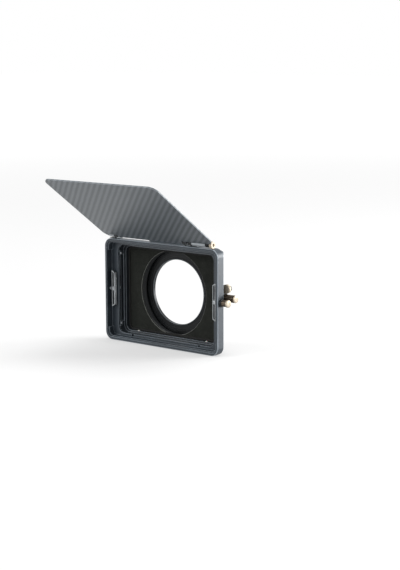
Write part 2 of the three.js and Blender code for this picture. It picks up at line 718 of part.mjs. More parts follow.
add('right_clip_bar', clipBar(1), 'greyAlloy');
{
  const headInner = sideFace - clip.headRecess + gap;
  add('left_clip_stem', turned([
    [0, -headInner - clip.headLength], [clip.headRadius, -headInner - clip.headLength],
    [clip.headRadius, -headInner], [clip.stemRadius, -headInner], [clip.stemRadius, -stemTip], [0, -stemTip],
  ], 'x', clipLine), 'steel');
  const seat = sideFace - front.lip;
  add('left_clip_spring', spring({
    ...clipSpring, name: 'left_clip_spring', length: seat - barBase - gap * 2,
  }, 'x', [-seat + gap, clipDepth, 0]), 'steel');
}

// Right clip's outside: base ring, knurled spring housing, and the cap that is pulled
{
  const { ringRadius, ringLength, radius, length, bore, endWall, capRadius, capLength, bevel } = clipHousing;
  const ringStart = sideFace + gap;
  const ringEnd = ringStart + ringLength;
  const start = ringEnd + gap;
  const end = start + length;
  const hole = clip.stemRadius + gap;
  add('clip_base_ring', turned([
    [bore, ringStart], [ringRadius, ringStart], [ringRadius, ringEnd - bevel], [ringRadius - bevel, ringEnd],
    [bore, ringEnd], [bore, ringStart],
  ], 'x', clipLine, facets.medium), 'anodisedBlack');
  add('clip_housing', cut(
    knurled({ radius, depth: clipHousing.knurlDepth, count: clipHousing.knurls, bevel }, start, end,
      'x', clipLine),
    rod(bore, start - overrun, end - endWall, 'x', clipLine),
    rod(hole, start, end + overrun, 'x', clipLine),
  ), 'bronze');
  const collarStart = ringStart + gap;
  const collarEnd = collarStart + clipHousing.collarLength;
  const capStart = end + gap;
  add('right_clip_stem', turned([
    [0, stemTip], [clip.stemRadius, stemTip], [clip.stemRadius, collarStart],
    [bore - gap, collarStart], [bore - gap, collarEnd], [clip.stemRadius, collarEnd],
    [clip.stemRadius, capStart + capLength / 2], [0, capStart + capLength / 2],
  ], 'x', clipLine), 'steel');
  add('right_clip_spring', ring(
    bore - gap, hole, collarEnd + gap, end - endWall - gap, 'x', clipLine, facets.small,
  ), 'steel');
  add('right_clip_cap', cut(
    turned([
      [0, capStart], [capRadius - bevel, capStart], [capRadius, capStart + bevel],
      [capRadius, capStart + capLength - bevel], [capRadius - bevel, capStart + capLength],
      [0, capStart + capLength],
    ], 'x', clipLine, facets.medium),
    rod(hole, capStart - overrun, capStart + capLength / 2 + gap, 'x', clipLine),
  ), 'brass');
}

// Side bracket: a plate on the rear frame that holds the latch housing, and a lug for the thumbscrew
const plateX = [rearSide + gap, rearSide + gap + bracket.thickness];
const thumbLine = [rearSide + thumb.setout, 0, thumb.height];
const thumbFront = rearFront + thumb.setback;
const thumbBack = thumbFront + thumb.length;
{
  const lugTop = thumb.height + bracket.lugRadius;
  const lugFront = thumbBack + gap;
  const lugBack = lugFront + bracket.lugThickness;
  const outline = polygon([
    [bracketFront, bracket.bottom], [lugBack - bracket.corner, bracket.bottom],
    [lugBack, bracket.bottom + bracket.corner], [lugBack, lugTop], [lugFront, lugTop],
    [thumbFront - gap, lugTop], [bracketFront, lugTop - bracket.corner],
  ]);
  add('side_bracket', cut(
    join(
      slabX(outline, ...plateX),
      block([plateX[0], thumbLine[0]], [lugFront, lugBack], [thumb.height - bracket.lugRadius, lugTop]),
      rod(bracket.lugRadius, lugFront, lugBack, 'y', thumbLine, facets.medium),
    ),
    rod(thumb.radius + gap, thumbFront - gap, lugFront, 'y', thumbLine, facets.medium),
    rod(latch.pinRadius + gap, plateX[0] - overrun, plateX[1] + overrun, 'x', latchLine),
    rod(thumb.shankRadius + gap, lugFront - overrun, lugBack + overrun, 'y', thumbLine),
    ...sideScrewPlaces.map((height) => rod(
      sideScrew.shankRadius + gap, plateX[0] - overrun, plateX[1] + overrun,
      'x', [0, bracketScrewDepth, height],
    )),
  ), 'anodisedBlack');
  addEach('side_bracket_screw', sideScrewPlaces, (height) => screw(
    sideScrew, plateX[1] + gap, rearSide - sideScrew.grip, 'x', [0, bracketScrewDepth, height],
  ), 'steel');
  add('side_thumb_screw', cut(
    join(
      knurled({ radius: thumb.radius, depth: thumb.knurlDepth, count: thumb.knurls, bevel: thumb.bevel },
        thumbFront, thumbBack, 'y', thumbLine),
      rod(thumb.shankRadius, thumbFront + thumb.length / 2, thumbBack + thumb.shankLength, 'y', thumbLine),
    ),
    ring(thumb.radius + overrun, thumb.radius - thumb.grooveDepth, thumbFront + thumb.grooveSetback,
      thumbFront + thumb.grooveSetback + thumb.grooveWidth, 'y', thumbLine, facets.medium),
  ), 'brass');
}

// Rear latch: pin, spring, knurled housing and cap
{
  const { bore, endWall, bevel, capRadius, capLength } = latch;
  const start = plateX[1] + gap;
  const end = start + latch.length;
  const hole = latch.pinRadius + gap;
  const collarStart = start + gap * 2;
  const collarEnd = collarStart + latch.collarLength;
  const capStart = end + gap;
  const tip = rearSide - latch.reach;
  add('latch_housing', cut(
    knurled({ radius: latch.radius, depth: latch.knurlDepth, count: latch.knurls, bevel }, start, end,
      'x', latchLine),
    rod(bore, start - overrun, end - endWall, 'x', latchLine),
    rod(hole, start, end + overrun, 'x', latchLine),
  ), 'bronze');
  add('latch_pin', turned([
    [0, tip], [latch.pinRadius - bevel, tip], [latch.pinRadius, tip + bevel],
    [latch.pinRadius, collarStart], [latch.collarRadius, collarStart], [latch.collarRadius, collarEnd],
    [latch.pinRadius, collarEnd], [latch.pinRadius, capStart + capLength / 2],
    [0, capStart + capLength / 2],
  ], 'x', latchLine), 'steel');
  add('latch_spring', ring(
    bore - gap, hole, collarEnd + gap, end - endWall - gap, 'x', latchLine, facets.small,
  ), 'steel');
  add('latch_cap', cut(
    turned([
      [0, capStart], [capRadius - bevel, capStart], [capRadius, capStart + bevel],
      [capRadius, capStart + capLength - bevel], [capRadius - bevel, capStart + capLength],
      [0, capStart + capLength],
    ], 'x', latchLine, facets.medium),
    rod(hole, capStart - overrun, capStart + capLength / 2 + gap, 'x', latchLine),
  ), 'brass');
}

// Left stage pin in its outside housing
{
  const start = rearSide + gap;
  const end = start + stagePin.housingLength;
  const collarStart = start + gap;
  const collarEnd = collarStart + stagePin.collarLength;
  const tip = stageHalfWidth + rear.slotDepth - stagePin.proud;
  add('stage_pin_housing', turned([
    [0, -end], [stagePin.housingRadius - stagePin.bevel, -end],
    [stagePin.housingRadius, -end + stagePin.bevel], [stagePin.housingRadius, -start],
    [stagePin.bore, -start], [stagePin.bore, -end + stagePin.endWall], [0, -end + stagePin.endWall],
  ], 'x', stagePinLine), 'anodisedBlack');
  add('stage_pin', turned([
    [0, -collarEnd], [stagePin.collarRadius, -collarEnd], [stagePin.collarRadius, -collarStart],
    [stagePin.radius, -collarStart], [stagePin.radius, -tip - stagePin.bevel],
    [stagePin.radius - stagePin.bevel, -tip], [0, -tip],
  ], 'x', stagePinLine), 'steel');
  add('stage_pin_spring', ring(
    stagePin.collarRadius - gap, stagePin.radius - gap * 3, -end + stagePin.endWall + gap, -collarEnd - gap,
    'x', stagePinLine, facets.small,
  ), 'steel');
}

// Ball tips, each in its own bore in the rear frame
for (const { name, axis, centre, outward, face, proud } of ballPlaces) {
  const spot = centre.slice();
  spot['xyz'.indexOf(axis)] += outward * (face - proud + ball.radius);
  const sphere = new THREE.SphereGeometry(ball.radius, facets.small, facets.small / 2);
  sphere.translate(...spot);
  add(name, sphere, axis === 'x' ? 'steel' : 'nylon');
}

// Hinge brackets on the top face, with their pins, spring washers and tension knob
function hingeBracket(base, ears, { earRadius, pinRadius }) {
  const webTop = hingeHeight;
  const plateSolid = block(base, [hinge.baseFront, hinge.baseBack], bracketBase);
  const solids = ears.map(([from, to]) => cut(
    join(
      rod(earRadius, from, to, 'x', hingeAxis, facets.medium),
      slabX(polygon([
        [hinge.baseFront, bracketBase[0]], [hinge.earBack, bracketBase[0]],
        [flag.axisDepth + earRadius - gap, webTop], [flag.axisDepth, webTop],
        [flag.axisDepth - earRadius + gap, webTop - gap],
      ]), from, to),
    ),
    rod(pinRadius + gap, from - overrun, to + overrun, 'x', hingeAxis),
  ));
  return join(plateSolid, ...solids);
}
{
  const holes = bracketScrewPlaces.map((place) => rod(
    bracketScrew.shankRadius + gap, bracketBase[0] - overrun, bracketBase[1] + overrun, 'z', place,
  ));
  add('right_hinge_bracket', cut(
    hingeBracket(rightBase, [earOne, earTwo], rightHinge), holes[0], holes[1],
  ), 'anodisedBlack');
  add('left_hinge_bracket', cut(hingeBracket(leftBase, [leftEar], leftHinge), holes[2]), 'anodisedBlack');
  addEach('hinge_bracket_screw', bracketScrewPlaces, (place) => screw(
    bracketScrew, bracketBase[1] + gap, topFace - bracketScrew.grip, 'z', place,
  ), 'blackSteel');
  const headBase = earOne[0] - gap;
  const pinEnd = knobSpan[1] - hinge.socketDepth - hinge.pinShort;
  const rightPin = rightHinge.pinRadius;
  add('right_hinge_pin', turned([
    [0, headBase - hinge.pinHeadLength], [rightHinge.radius, headBase - hinge.pinHeadLength],
    [rightHinge.radius, headBase], [rightPin, headBase], [rightPin, pinEnd], [0, pinEnd],
  ], 'x', hingeAxis), 'blackSteel');
  const leftHead = leftEar[1] + gap;
  add('left_hinge_pin', turned([
    [0, leftSleeve[0]], [leftHinge.pinRadius, leftSleeve[0]], [leftHinge.pinRadius, leftHead],
    [leftHinge.radius, leftHead], [leftHinge.radius, leftHead + hinge.pinHeadLength],
    [0, leftHead + hinge.pinHeadLength],
  ], 'x', hingeAxis), 'blackSteel');
  const washers = [];
  const washerPitch = hinge.washerLength / (hinge.washerGrooves + 1);
  for (let groove = 1; groove <= hinge.washerGrooves; groove += 1) {
    const middle = washerSpan[0] + groove * washerPitch;
    washers.push([hinge.washerRadius, middle - hinge.washerGrooveDepth]);
    washers.push([hinge.washerRadius - hinge.washerGrooveDepth, middle]);
    washers.push([hinge.washerRadius, middle + hinge.washerGrooveDepth]);
  }
  add('hinge_washer', turned([
    [rightPin + gap, washerSpan[0]], [hinge.washerRadius, washerSpan[0]], ...washers,
    [hinge.washerRadius, washerSpan[1]], [rightPin + gap, washerSpan[1]], [rightPin + gap, washerSpan[0]],
  ], 'x', hingeAxis), 'blackSteel');
  const bevel = hinge.knobBevel;
  add('hinge_knob', cut(
    turned([
      [0, knobSpan[0]], [hinge.knobRadius - bevel, knobSpan[0]], [hinge.knobRadius, knobSpan[0] + bevel],
      [hinge.knobRadius, knobSpan[1] - bevel], [hinge.knobRadius - bevel, knobSpan[1]], [0, knobSpan[1]],
    ], 'x', hingeAxis, facets.medium),
    rod(rightPin + gap, knobSpan[0] - overrun, pinEnd + gap, 'x', hingeAxis),
    rod(hinge.socketRadius, knobSpan[1] - hinge.socketDepth, knobSpan[1] + overrun, 'x', hingeAxis, 6),
  ), 'brass');
}

// Top rail behind the flag
{
  const base = rearTop + gap;
  const shoulder = base + rail.baseHeight;
  const neckTop = shoulder + rail.neckHeight;
  const top = neckTop + rail.headHeight;
  const [near, far] = [railFront, railFront + rail.baseDepth];
  const outline = polygon([
    [near, base], [far, base], [far, shoulder], [far - rail.neckInset, shoulder + rail.neckInset / 2],
    [far - rail.neckInset, neckTop], [far - rail.headInset, neckTop + rail.headBevel],
    [far - rail.headInset, top - rail.headBevel], [far - rail.headInset - rail.headBevel, top],
    [near + rail.headInset + rail.headBevel, top], [near + rail.headInset, top - rail.headBevel],
    [near + rail.headInset, neckTop + rail.headBevel], [near + rail.neckInset, neckTop],
    [near + rail.neckInset, shoulder + rail.neckInset / 2], [near, shoulder],
  ]);
  const seat = top - rail.boreDepth;
  add('top_rail', cut(
    slabX(outline, -rail.halfLength, rail.halfLength),
    ...railScrewPlaces.map((place) => rod(
      railScrew.shankRadius + gap, base - overrun, top + overrun, 'z', place,
    )),
    ...railScrewPlaces.map((place) => rod(rail.boreRadius, seat, top + overrun, 'z', place)),
  ), 'anodisedBlack');
  addEach('top_rail_screw', railScrewPlaces, (place) => screw(
    railScrew, seat + gap, rearTop - railScrew.grip, 'z', place,
  ), 'steel');
}

// Top flag: carbon panel with hinge leaves, drawn level and then tilted about the hinge axis
const flagGroup = new THREE.Group();
flagGroup.position.set(...hingeAxis);
flagGroup.rotation.x = THREE.MathUtils.degToRad(-flag.tilt);
box.add(flagGroup);
{
  const half = sideFace - flag.sideMargin;
  const corner = flag.cornerRadius;
  const notchRadius = hinge.notchCorner;
  const notchStart = earOne[0] - gap - hinge.pinHeadLength - hinge.notchMargin;
  const notchEdge = -hinge.knobRadius - hinge.notchClearance;
  const near = flag.nearReach;
  const far = flag.nearReach - flag.length;
  const shape = new THREE.Shape();
  shape.moveTo(-half + corner, near);
  shape.lineTo(notchStart, near);
  shape.lineTo(notchStart, notchEdge);
  shape.lineTo(half - notchRadius, notchEdge);
  shape.absarc(half - notchRadius, notchEdge - notchRadius, notchRadius, Math.PI / 2, 0, true);
  shape.lineTo(half, far + corner);
  shape.absarc(half - corner, far + corner, corner, 0, -Math.PI / 2, true);
  shape.lineTo(-half + corner, far);
  shape.absarc(-half + corner, far + corner, corner, -Math.PI / 2, -Math.PI, true);
  shape.lineTo(-half, near - corner);
  shape.absarc(-half + corner, near - corner, corner, Math.PI, Math.PI / 2, true);
  const panelTop = flag.thickness / 2 - flag.drop;
  const panelBottom = -flag.thickness / 2 - flag.drop;
  const leftSlot = block(
    [leftSleeve[0] - gap, leftEar[1] + gap + hinge.pinHeadLength + hinge.notchMargin],
    [-leftHinge.radius - hinge.notchClearance, near + overrun], [panelBottom - overrun, panelTop + overrun],
  );
  const leafBottom = panelTop + gap;
  const leafTop = leafBottom + hinge.leafThickness;
  const rivetX = [
    rightSleeve[0] + hinge.rivetInset, rightSleeve[1] - hinge.rivetInset,
    (leftSleeve[0] + leftSleeve[1]) / 2,
  ];
  const rivetHole = (x) => rod(
    hinge.rivetRadius + gap, panelBottom + hinge.rivetFloor, leafTop + overrun, 'z',
    [x, -hinge.rivetReach, 0],
  );
  add('flag_panel', cut(
    slabZ(shape, panelBottom, panelTop), leftSlot, ...rivetX.map(rivetHole),
  ), 'carbon', flagGroup);
  const leaf = ([from, to], { radius, pinRadius }) => cut(
    join(
      rod(radius, from, to, 'x', [0, 0, 0], facets.medium),
      block([from, to], [-hinge.leafReach, -radius * hinge.leafLap + hinge.leafThickness],
        [leafBottom, leafTop]),
    ),
    rod(pinRadius + gap, from - overrun, to + overrun, 'x', [0, 0, 0]),
    ...rivetX.filter((x) => x > from && x < to).map(rivetHole),
  );
  add('right_hinge_leaf', leaf(rightSleeve, rightHinge), 'greyAlloy', flagGroup);
  add('left_hinge_leaf', leaf(leftSleeve, leftHinge), 'greyAlloy', flagGroup);
  addEach('flag_rivet', rivetX, (x) => {
    const [lower, upper] = [panelBottom + hinge.rivetFloor + gap, leafTop + gap];
    const head = hinge.rivetHeadRadius;
    return turned([
      [0, lower], [hinge.rivetRadius, lower], [hinge.rivetRadius, upper], [head, upper],
      [head - gap, upper + hinge.rivetHeadHeight], [0, upper + hinge.rivetHeadHeight],
    ], 'z', [x, -hinge.rivetReach, 0]);
  }, 'anodisedBlack', flagGroup);
}

// The origin is where the optical axis meets the collar's rear rim.
box.position.y = -collarBack;
const matteBox = new THREE.Group();
matteBox.add(box);

export default matteBox;
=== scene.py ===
import json
import math

import bmesh
import bpy
from mathutils import Matrix, Vector


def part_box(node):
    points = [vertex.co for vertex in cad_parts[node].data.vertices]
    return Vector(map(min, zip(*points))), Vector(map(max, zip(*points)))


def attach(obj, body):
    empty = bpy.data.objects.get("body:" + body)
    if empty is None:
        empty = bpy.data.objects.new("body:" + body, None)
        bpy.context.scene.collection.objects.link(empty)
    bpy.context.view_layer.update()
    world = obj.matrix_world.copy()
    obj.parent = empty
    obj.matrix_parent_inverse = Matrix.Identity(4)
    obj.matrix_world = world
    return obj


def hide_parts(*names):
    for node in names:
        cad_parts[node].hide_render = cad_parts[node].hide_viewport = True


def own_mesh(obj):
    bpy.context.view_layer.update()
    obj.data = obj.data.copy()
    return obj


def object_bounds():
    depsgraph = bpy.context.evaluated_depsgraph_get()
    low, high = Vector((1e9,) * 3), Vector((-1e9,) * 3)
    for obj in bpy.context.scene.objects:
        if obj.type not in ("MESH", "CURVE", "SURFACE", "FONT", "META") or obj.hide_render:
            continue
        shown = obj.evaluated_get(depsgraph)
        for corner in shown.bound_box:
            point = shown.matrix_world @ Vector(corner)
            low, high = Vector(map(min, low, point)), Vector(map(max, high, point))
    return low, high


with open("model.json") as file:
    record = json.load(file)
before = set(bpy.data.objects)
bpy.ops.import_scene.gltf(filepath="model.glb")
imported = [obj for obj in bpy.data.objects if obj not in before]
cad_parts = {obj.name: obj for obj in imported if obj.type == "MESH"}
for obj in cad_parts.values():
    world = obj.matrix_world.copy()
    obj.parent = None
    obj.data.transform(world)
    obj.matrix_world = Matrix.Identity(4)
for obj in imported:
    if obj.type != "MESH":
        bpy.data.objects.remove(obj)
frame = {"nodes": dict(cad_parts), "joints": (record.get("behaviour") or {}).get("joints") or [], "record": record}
bpy.context.scene.view_settings.view_transform = "Standard"
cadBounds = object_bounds()
nodes = frame["nodes"]
bodyOf = {node: body for body, members in frame["record"]["behaviour"]["bodies"].items() for node in members}
jointOf = {joint["name"]: joint for joint in frame["joints"]}

mm = 0.001
weld = 0.002  # vertices closer than this are one
overrun = 2  # how far a cutter runs past a face
gap = 0.3  # clearance between neighbouring pieces
knee = 0.3  # the middle point of a turned bevel stands this share of it off the corner
hexSides = 6
axes = {"x": Vector((1, 0, 0)), "y": Vector((0, 1, 0)), "z": Vector((0, 0, 1))}


# Node materials

def fromHex(code):
    channels = [int(code[at:at + 2], 16) / 255 for at in (0, 2, 4)]
    return [c / 12.92 if c <= 0.04045 else ((c + 0.055) / 1.055) ** 2.4 for c in channels] + [1.0]


def perMetre(millimetres):
    return 1 / (millimetres * mm)


noiseSpan = {"From Min": 0.3, "From Max": 0.7}  # most of a noise lies between these


# Links sources to a node's sockets by name. A source that is a node gives its first output.
def feed(node, sources):
    for name, source in sources.items():
        output = source.outputs[0] if hasattr(source, "outputs") else source
        node.id_data.links.new(output, node.inputs[name])


# Sets a node's properties, or its sockets' values. A text for a socket is a colour's hex value.
def adjust(node, settings):
    for name, value in settings.items():
        if isinstance(name, int) or name in node.inputs:
            node.inputs[name].default_value = fromHex(value) if isinstance(value, str) else value
        else:
            setattr(node, name, value)


def put(tree, kind, settings=None, links=None):
    node = tree.nodes.new("ShaderNode" + kind)
    adjust(node, settings or {})
    feed(node, links or {})
    return node


def newMaterial(name, shader):
    material = bpy.data.materials.new(name)
    material.use_nodes = True
    surface = material.node_tree.nodes["Principled BSDF"]
    adjust(surface, shader)
    return material, material.node_tree, surface


# Metal, bare or anodised: a cloudy tone, edges paled as wear and as painted highlight, and a relief of lathe rings
# round an axis or of blasting grain. Both are drawn a few times coarser than real ones, so that they show.
def metalFinish(name, look, axis=None, centre=(0, 0, 0)):
    material, tree, surface = newMaterial(name, {
        "Metallic": look["metallic"], "Specular IOR Level": look["specular"],
    })
    place = put(tree, "TexCoord").outputs["Object"]
    cloud = put(tree, "TexNoise", {"Scale": perMetre(look["cloudSize"]), "Detail": 4}, {"Vector": place})
    if axis:
        across = Vector((1, 1, 1)) - axes[axis]
        moved = put(tree, "VectorMath", {"operation": "SUBTRACT", 1: Vector(centre) * mm}, {0: place})
        flat = put(tree, "VectorMath", {"operation": "MULTIPLY", 1: across}, {0: moved})
        radius = put(tree, "VectorMath", {"operation": "LENGTH"}, {0: flat}).outputs["Value"]
        along = put(tree, "VectorMath", {"operation": "DOT_PRODUCT", 1: axes[axis]}, {0: moved})
        travel = put(tree, "Math", {"operation": "ADD"}, {0: radius, 1: along.outputs["Value"]})
        density = math.tau * perMetre(look["pitch"])
        turns = put(tree, "Math", {"operation": "MULTIPLY", 1: density}, {0: travel})
        wave = put(tree, "Math", {"operation": "SINE"}, {0: turns})
        relief = put(tree, "MapRange", {"From Min": -1}, {"Value": wave})
    else:
        relief = put(tree, "TexNoise", {"Scale": perMetre(look["pitch"]), "Detail": 2}, {"Vector": place})
    tone = put(tree, "Mix", {
        "data_type": "RGBA", 6: look["body"], 7: look["cloud"],
    }, {0: put(tree, "MapRange", noiseSpan, {"Value": cloud})}).outputs[2]
    speckle = put(tree, "MapRange", {
        "From Min": 0.3, "From Max": 1, "To Max": look["fleck"],
    }, {"Value": relief})
    patchy = put(tree, "MapRange", {**noiseSpan, "To Min": 0.6}, {"Value": cloud})
    # The edge mark pales the colour as wear and as painted highlight, patchy along the edge.
    wornAndHighlit = put(tree, "Attribute", {"attribute_name": "edgeWear"}).outputs["Fac"]
    bright = put(tree, "Math", {"operation": "MULTIPLY"}, {0: wornAndHighlit, 1: patchy})
    for share in (speckle, bright):
        tone = put(tree, "Mix", {
            "data_type": "RGBA", 7: look["edge"],
        }, {0: share, 6: tone}).outputs[2]
    smooth, rough = look["roughness"]
    feed(surface, {
        "Base Color": tone,
        "Roughness": put(tree, "MapRange", {
            **noiseSpan, "To Min": smooth, "To Max": rough,
        }, {"Value": cloud}),
        "Normal": put(tree, "Bump", {
            "Strength": look["relief"], "Distance": look["depth"] * mm,
        }, {"Height": relief}),
    })
    return material


# Blasted, slate-dyed anodising: a deep satin skin with a fine grain, paler at its edges as handling wear and as
# painted highlight.
slateAnodising = {
    "metallic": 0.15, "specular": 0.65, "pitch": 0.45, "cloudSize": 26, "roughness": (0.38, 0.48),
    "relief": 0.22, "depth": 0.06, "fleck": 0.08, "body": "232b33", "cloud": "29333c", "edge": "959fa8",
}
# The same on the rear frame, where filters slide: darker, as painted shade of its recess behind the front frame,
# with brighter edges as wear and painted highlight.
recessShadedAnodising = {**slateAnodising, "body": "1b2127", "cloud": "21282f", "edge": "a3acb4"}
# Dark grey anodising of the clip bars, silvery on worn edges and, as painted light, on faces that look to the
# front and to the right.
clipAnodisingWithPaintedLight = {
    "metallic": 0.4, "specular": 0.5, "pitch": 0.4, "cloudSize": 8, "roughness": (0.34, 0.46),
    "relief": 0.15, "depth": 0.03, "fleck": 0.06, "body": "2f3438", "cloud": "383d42", "edge": "c9ced1",
}
# Black-dyed anodising off the lathe: near black with a thread of light on every corner and ring.
blackAnodising = {
    "metallic": 0.35, "specular": 0.4, "pitch": 0.45, "cloudSize": 14, "roughness": (0.34, 0.46),
    "relief": 0.25, "depth": 0.03, "fleck": 0.06, "body": "0f1112", "cloud": "151719", "edge": "7a8186",
}
# Grey anodising of the hinge leaves: a mid tone that shows their shape against the dark frame.
greyAnodising = {
    "metallic": 0.5, "specular": 0.5, "pitch": 0.4, "cloudSize": 8, "roughness": (0.34, 0.46),
    "relief": 0.15, "depth": 0.03, "fleck": 0.1, "body": "9ca2a6", "cloud": "a8aeb2", "edge": "d6dadc",
}
# Lacquered pale brass of the knobs and caps: warm cream, satin, with soft lathe rings.
paleBrass = {
    "metallic": 0.5, "specular": 0.4, "pitch": 0.35, "cloudSize": 6, "roughness": (0.45, 0.58),
    "relief": 0.18, "depth": 0.03, "fleck": 0.12, "body": "ada290", "cloud": "b8ad9c", "edge": "cac1b3",
}
# Bronze gone brown with handling: dark between the ridges and dull gold on them.
agedBronze = {
    "metallic": 0.8, "specular": 0.5, "pitch": 0.4, "cloudSize": 3, "roughness": (0.36, 0.52),
    "relief": 0.25, "depth": 0.03, "fleck": 0.1, "body": "3a322b", "cloud": "51463b", "edge": "998977",
}
# Bright turned steel of screws, springs and pins.
turnedSteel = {
    "metallic": 1, "specular": 0.5, "pitch": 0.3, "cloudSize": 5, "roughness": (0.24, 0.38),
    "relief": 0.2, "depth": 0.03, "fleck": 0.15, "body": "a4a8ad", "cloud": "b8bcc0", "edge": "dadde0",
}
# Black oxide on steel: a thin dark skin over bright metal, which shows at the edges.
blackOxide = {
    "metallic": 0.7, "specular": 0.5, "pitch": 0.35, "cloudSize": 4, "roughness": (0.36, 0.5),
    "relief": 0.2, "depth": 0.03, "fleck": 0.08, "body": "18191b", "cloud": "232426", "edge": "6c7074",
}


# Flocked card: short black fibres that swallow light, with a faint olive cast, a speckle of
# standing tips and a paler cut edge.
def flockedCard():
    look = {"deep": "181a18", "tips": "3f413d", "cut": "8a8c88", "fibre": 0.7, "patch": 9}
    material, tree, surface = newMaterial("flockedCard", {
        "Metallic": 0, "Roughness": 0.95, "Specular IOR Level": 0.12, "Sheen Weight": 0.15,
        "Sheen Roughness": 0.5, "Sheen Tint": "8c8c80",
    })
    place = put(tree, "TexCoord").outputs["Object"]
    fibre = put(tree, "TexNoise", {
        "Scale": perMetre(look["fibre"]), "Detail": 4, "Roughness": 0.7,
    }, {"Vector": place})
    patch = put(tree, "TexNoise", {"Scale": perMetre(look["patch"]), "Detail": 3}, {"Vector": place})
    standing = put(tree, "MapRange", {"From Min": 0.35, "From Max": 0.7}, {"Value": fibre})
    brushed = put(tree, "MapRange", {**noiseSpan, "To Min": 0.6}, {"Value": patch})
    mixed = put(tree, "Math", {"operation": "MULTIPLY"}, {0: standing, 1: brushed})
    tone = put(tree, "Mix", {
        "data_type": "RGBA", 6: look["deep"], 7: look["tips"],
    }, {0: mixed}).outputs[2]
    wornAndHighlit = put(tree, "Attribute", {"attribute_name": "edgeWear"}).outputs["Fac"]
    feed(surface, {
        "Base Color": put(tree, "Mix", {
            "data_type": "RGBA", 7: look["cut"],
        }, {0: wornAndHighlit, 6: tone}).outputs[2],
        "Normal": put(tree, "Bump", {"Strength": 0.5, "Distance": 0.12 * mm}, {"Height": fibre}),
    })
    return material


# Moulded rubber: dull, near black, with a soft pebbled bloom.
def mouldedRubber():
    look = {"body": "161616", "bloom": "282827", "pebble": 0.6, "cloud": 12}
    material, tree, surface = newMaterial("mouldedRubber", {"Metallic": 0, "Specular IOR Level": 0.35})
    place = put(tree, "TexCoord").outputs["Object"]
    pebble = put(tree, "TexNoise", {"Scale": perMetre(look["pebble"]), "Detail": 3}, {"Vector": place})
    cloud = put(tree, "TexNoise", {"Scale": perMetre(look["cloud"]), "Detail": 3}, {"Vector": place})
    bloom = put(tree, "MapRange", {**noiseSpan, "To Max": 0.7}, {"Value": cloud})
    feed(surface, {
        "Base Color": put(tree, "Mix", {
            "data_type": "RGBA", 6: look["body"], 7: look["bloom"],
        }, {0: bloom}).outputs[2],
        "Roughness": put(tree, "MapRange", {"To Min": 0.65, "To Max": 0.9}, {"Value": pebble}),
        "Normal": put(tree, "Bump", {"Strength": 0.3, "Distance": 0.05 * mm}, {"Height": pebble}),
    })
    return material


# Turned white nylon: milky, softly glossy, with a trace of translucence and a faint machining swirl.
def turnedNylon():
    look = {"body": "f6f5f0", "shade": "e9e7df", "swirl": 0.8}
    material, tree, surface = newMaterial("turnedNylon", {
        "Metallic": 0, "Subsurface Weight": 0.15, "Subsurface Scale": 1 * mm,
    })
    place = put(tree, "TexCoord").outputs["Object"]
    swirl = put(tree, "TexNoise", {"Scale": perMetre(look["swirl"]), "Detail": 3}, {"Vector": place})
    feed(surface, {
        "Base Color": put(tree, "Mix", {
            "data_type": "RGBA", 6: look["body"], 7: look["shade"],
        }, {0: swirl}).outputs[2],
        "Roughness": put(tree, "MapRange", {"To Min": 0.25, "To Max": 0.42}, {"Value": swirl}),
        "Normal": put(tree, "Bump", {"Strength": 0.1, "Distance": 0.02 * mm}, {"Height": swirl}),
    })
    return material


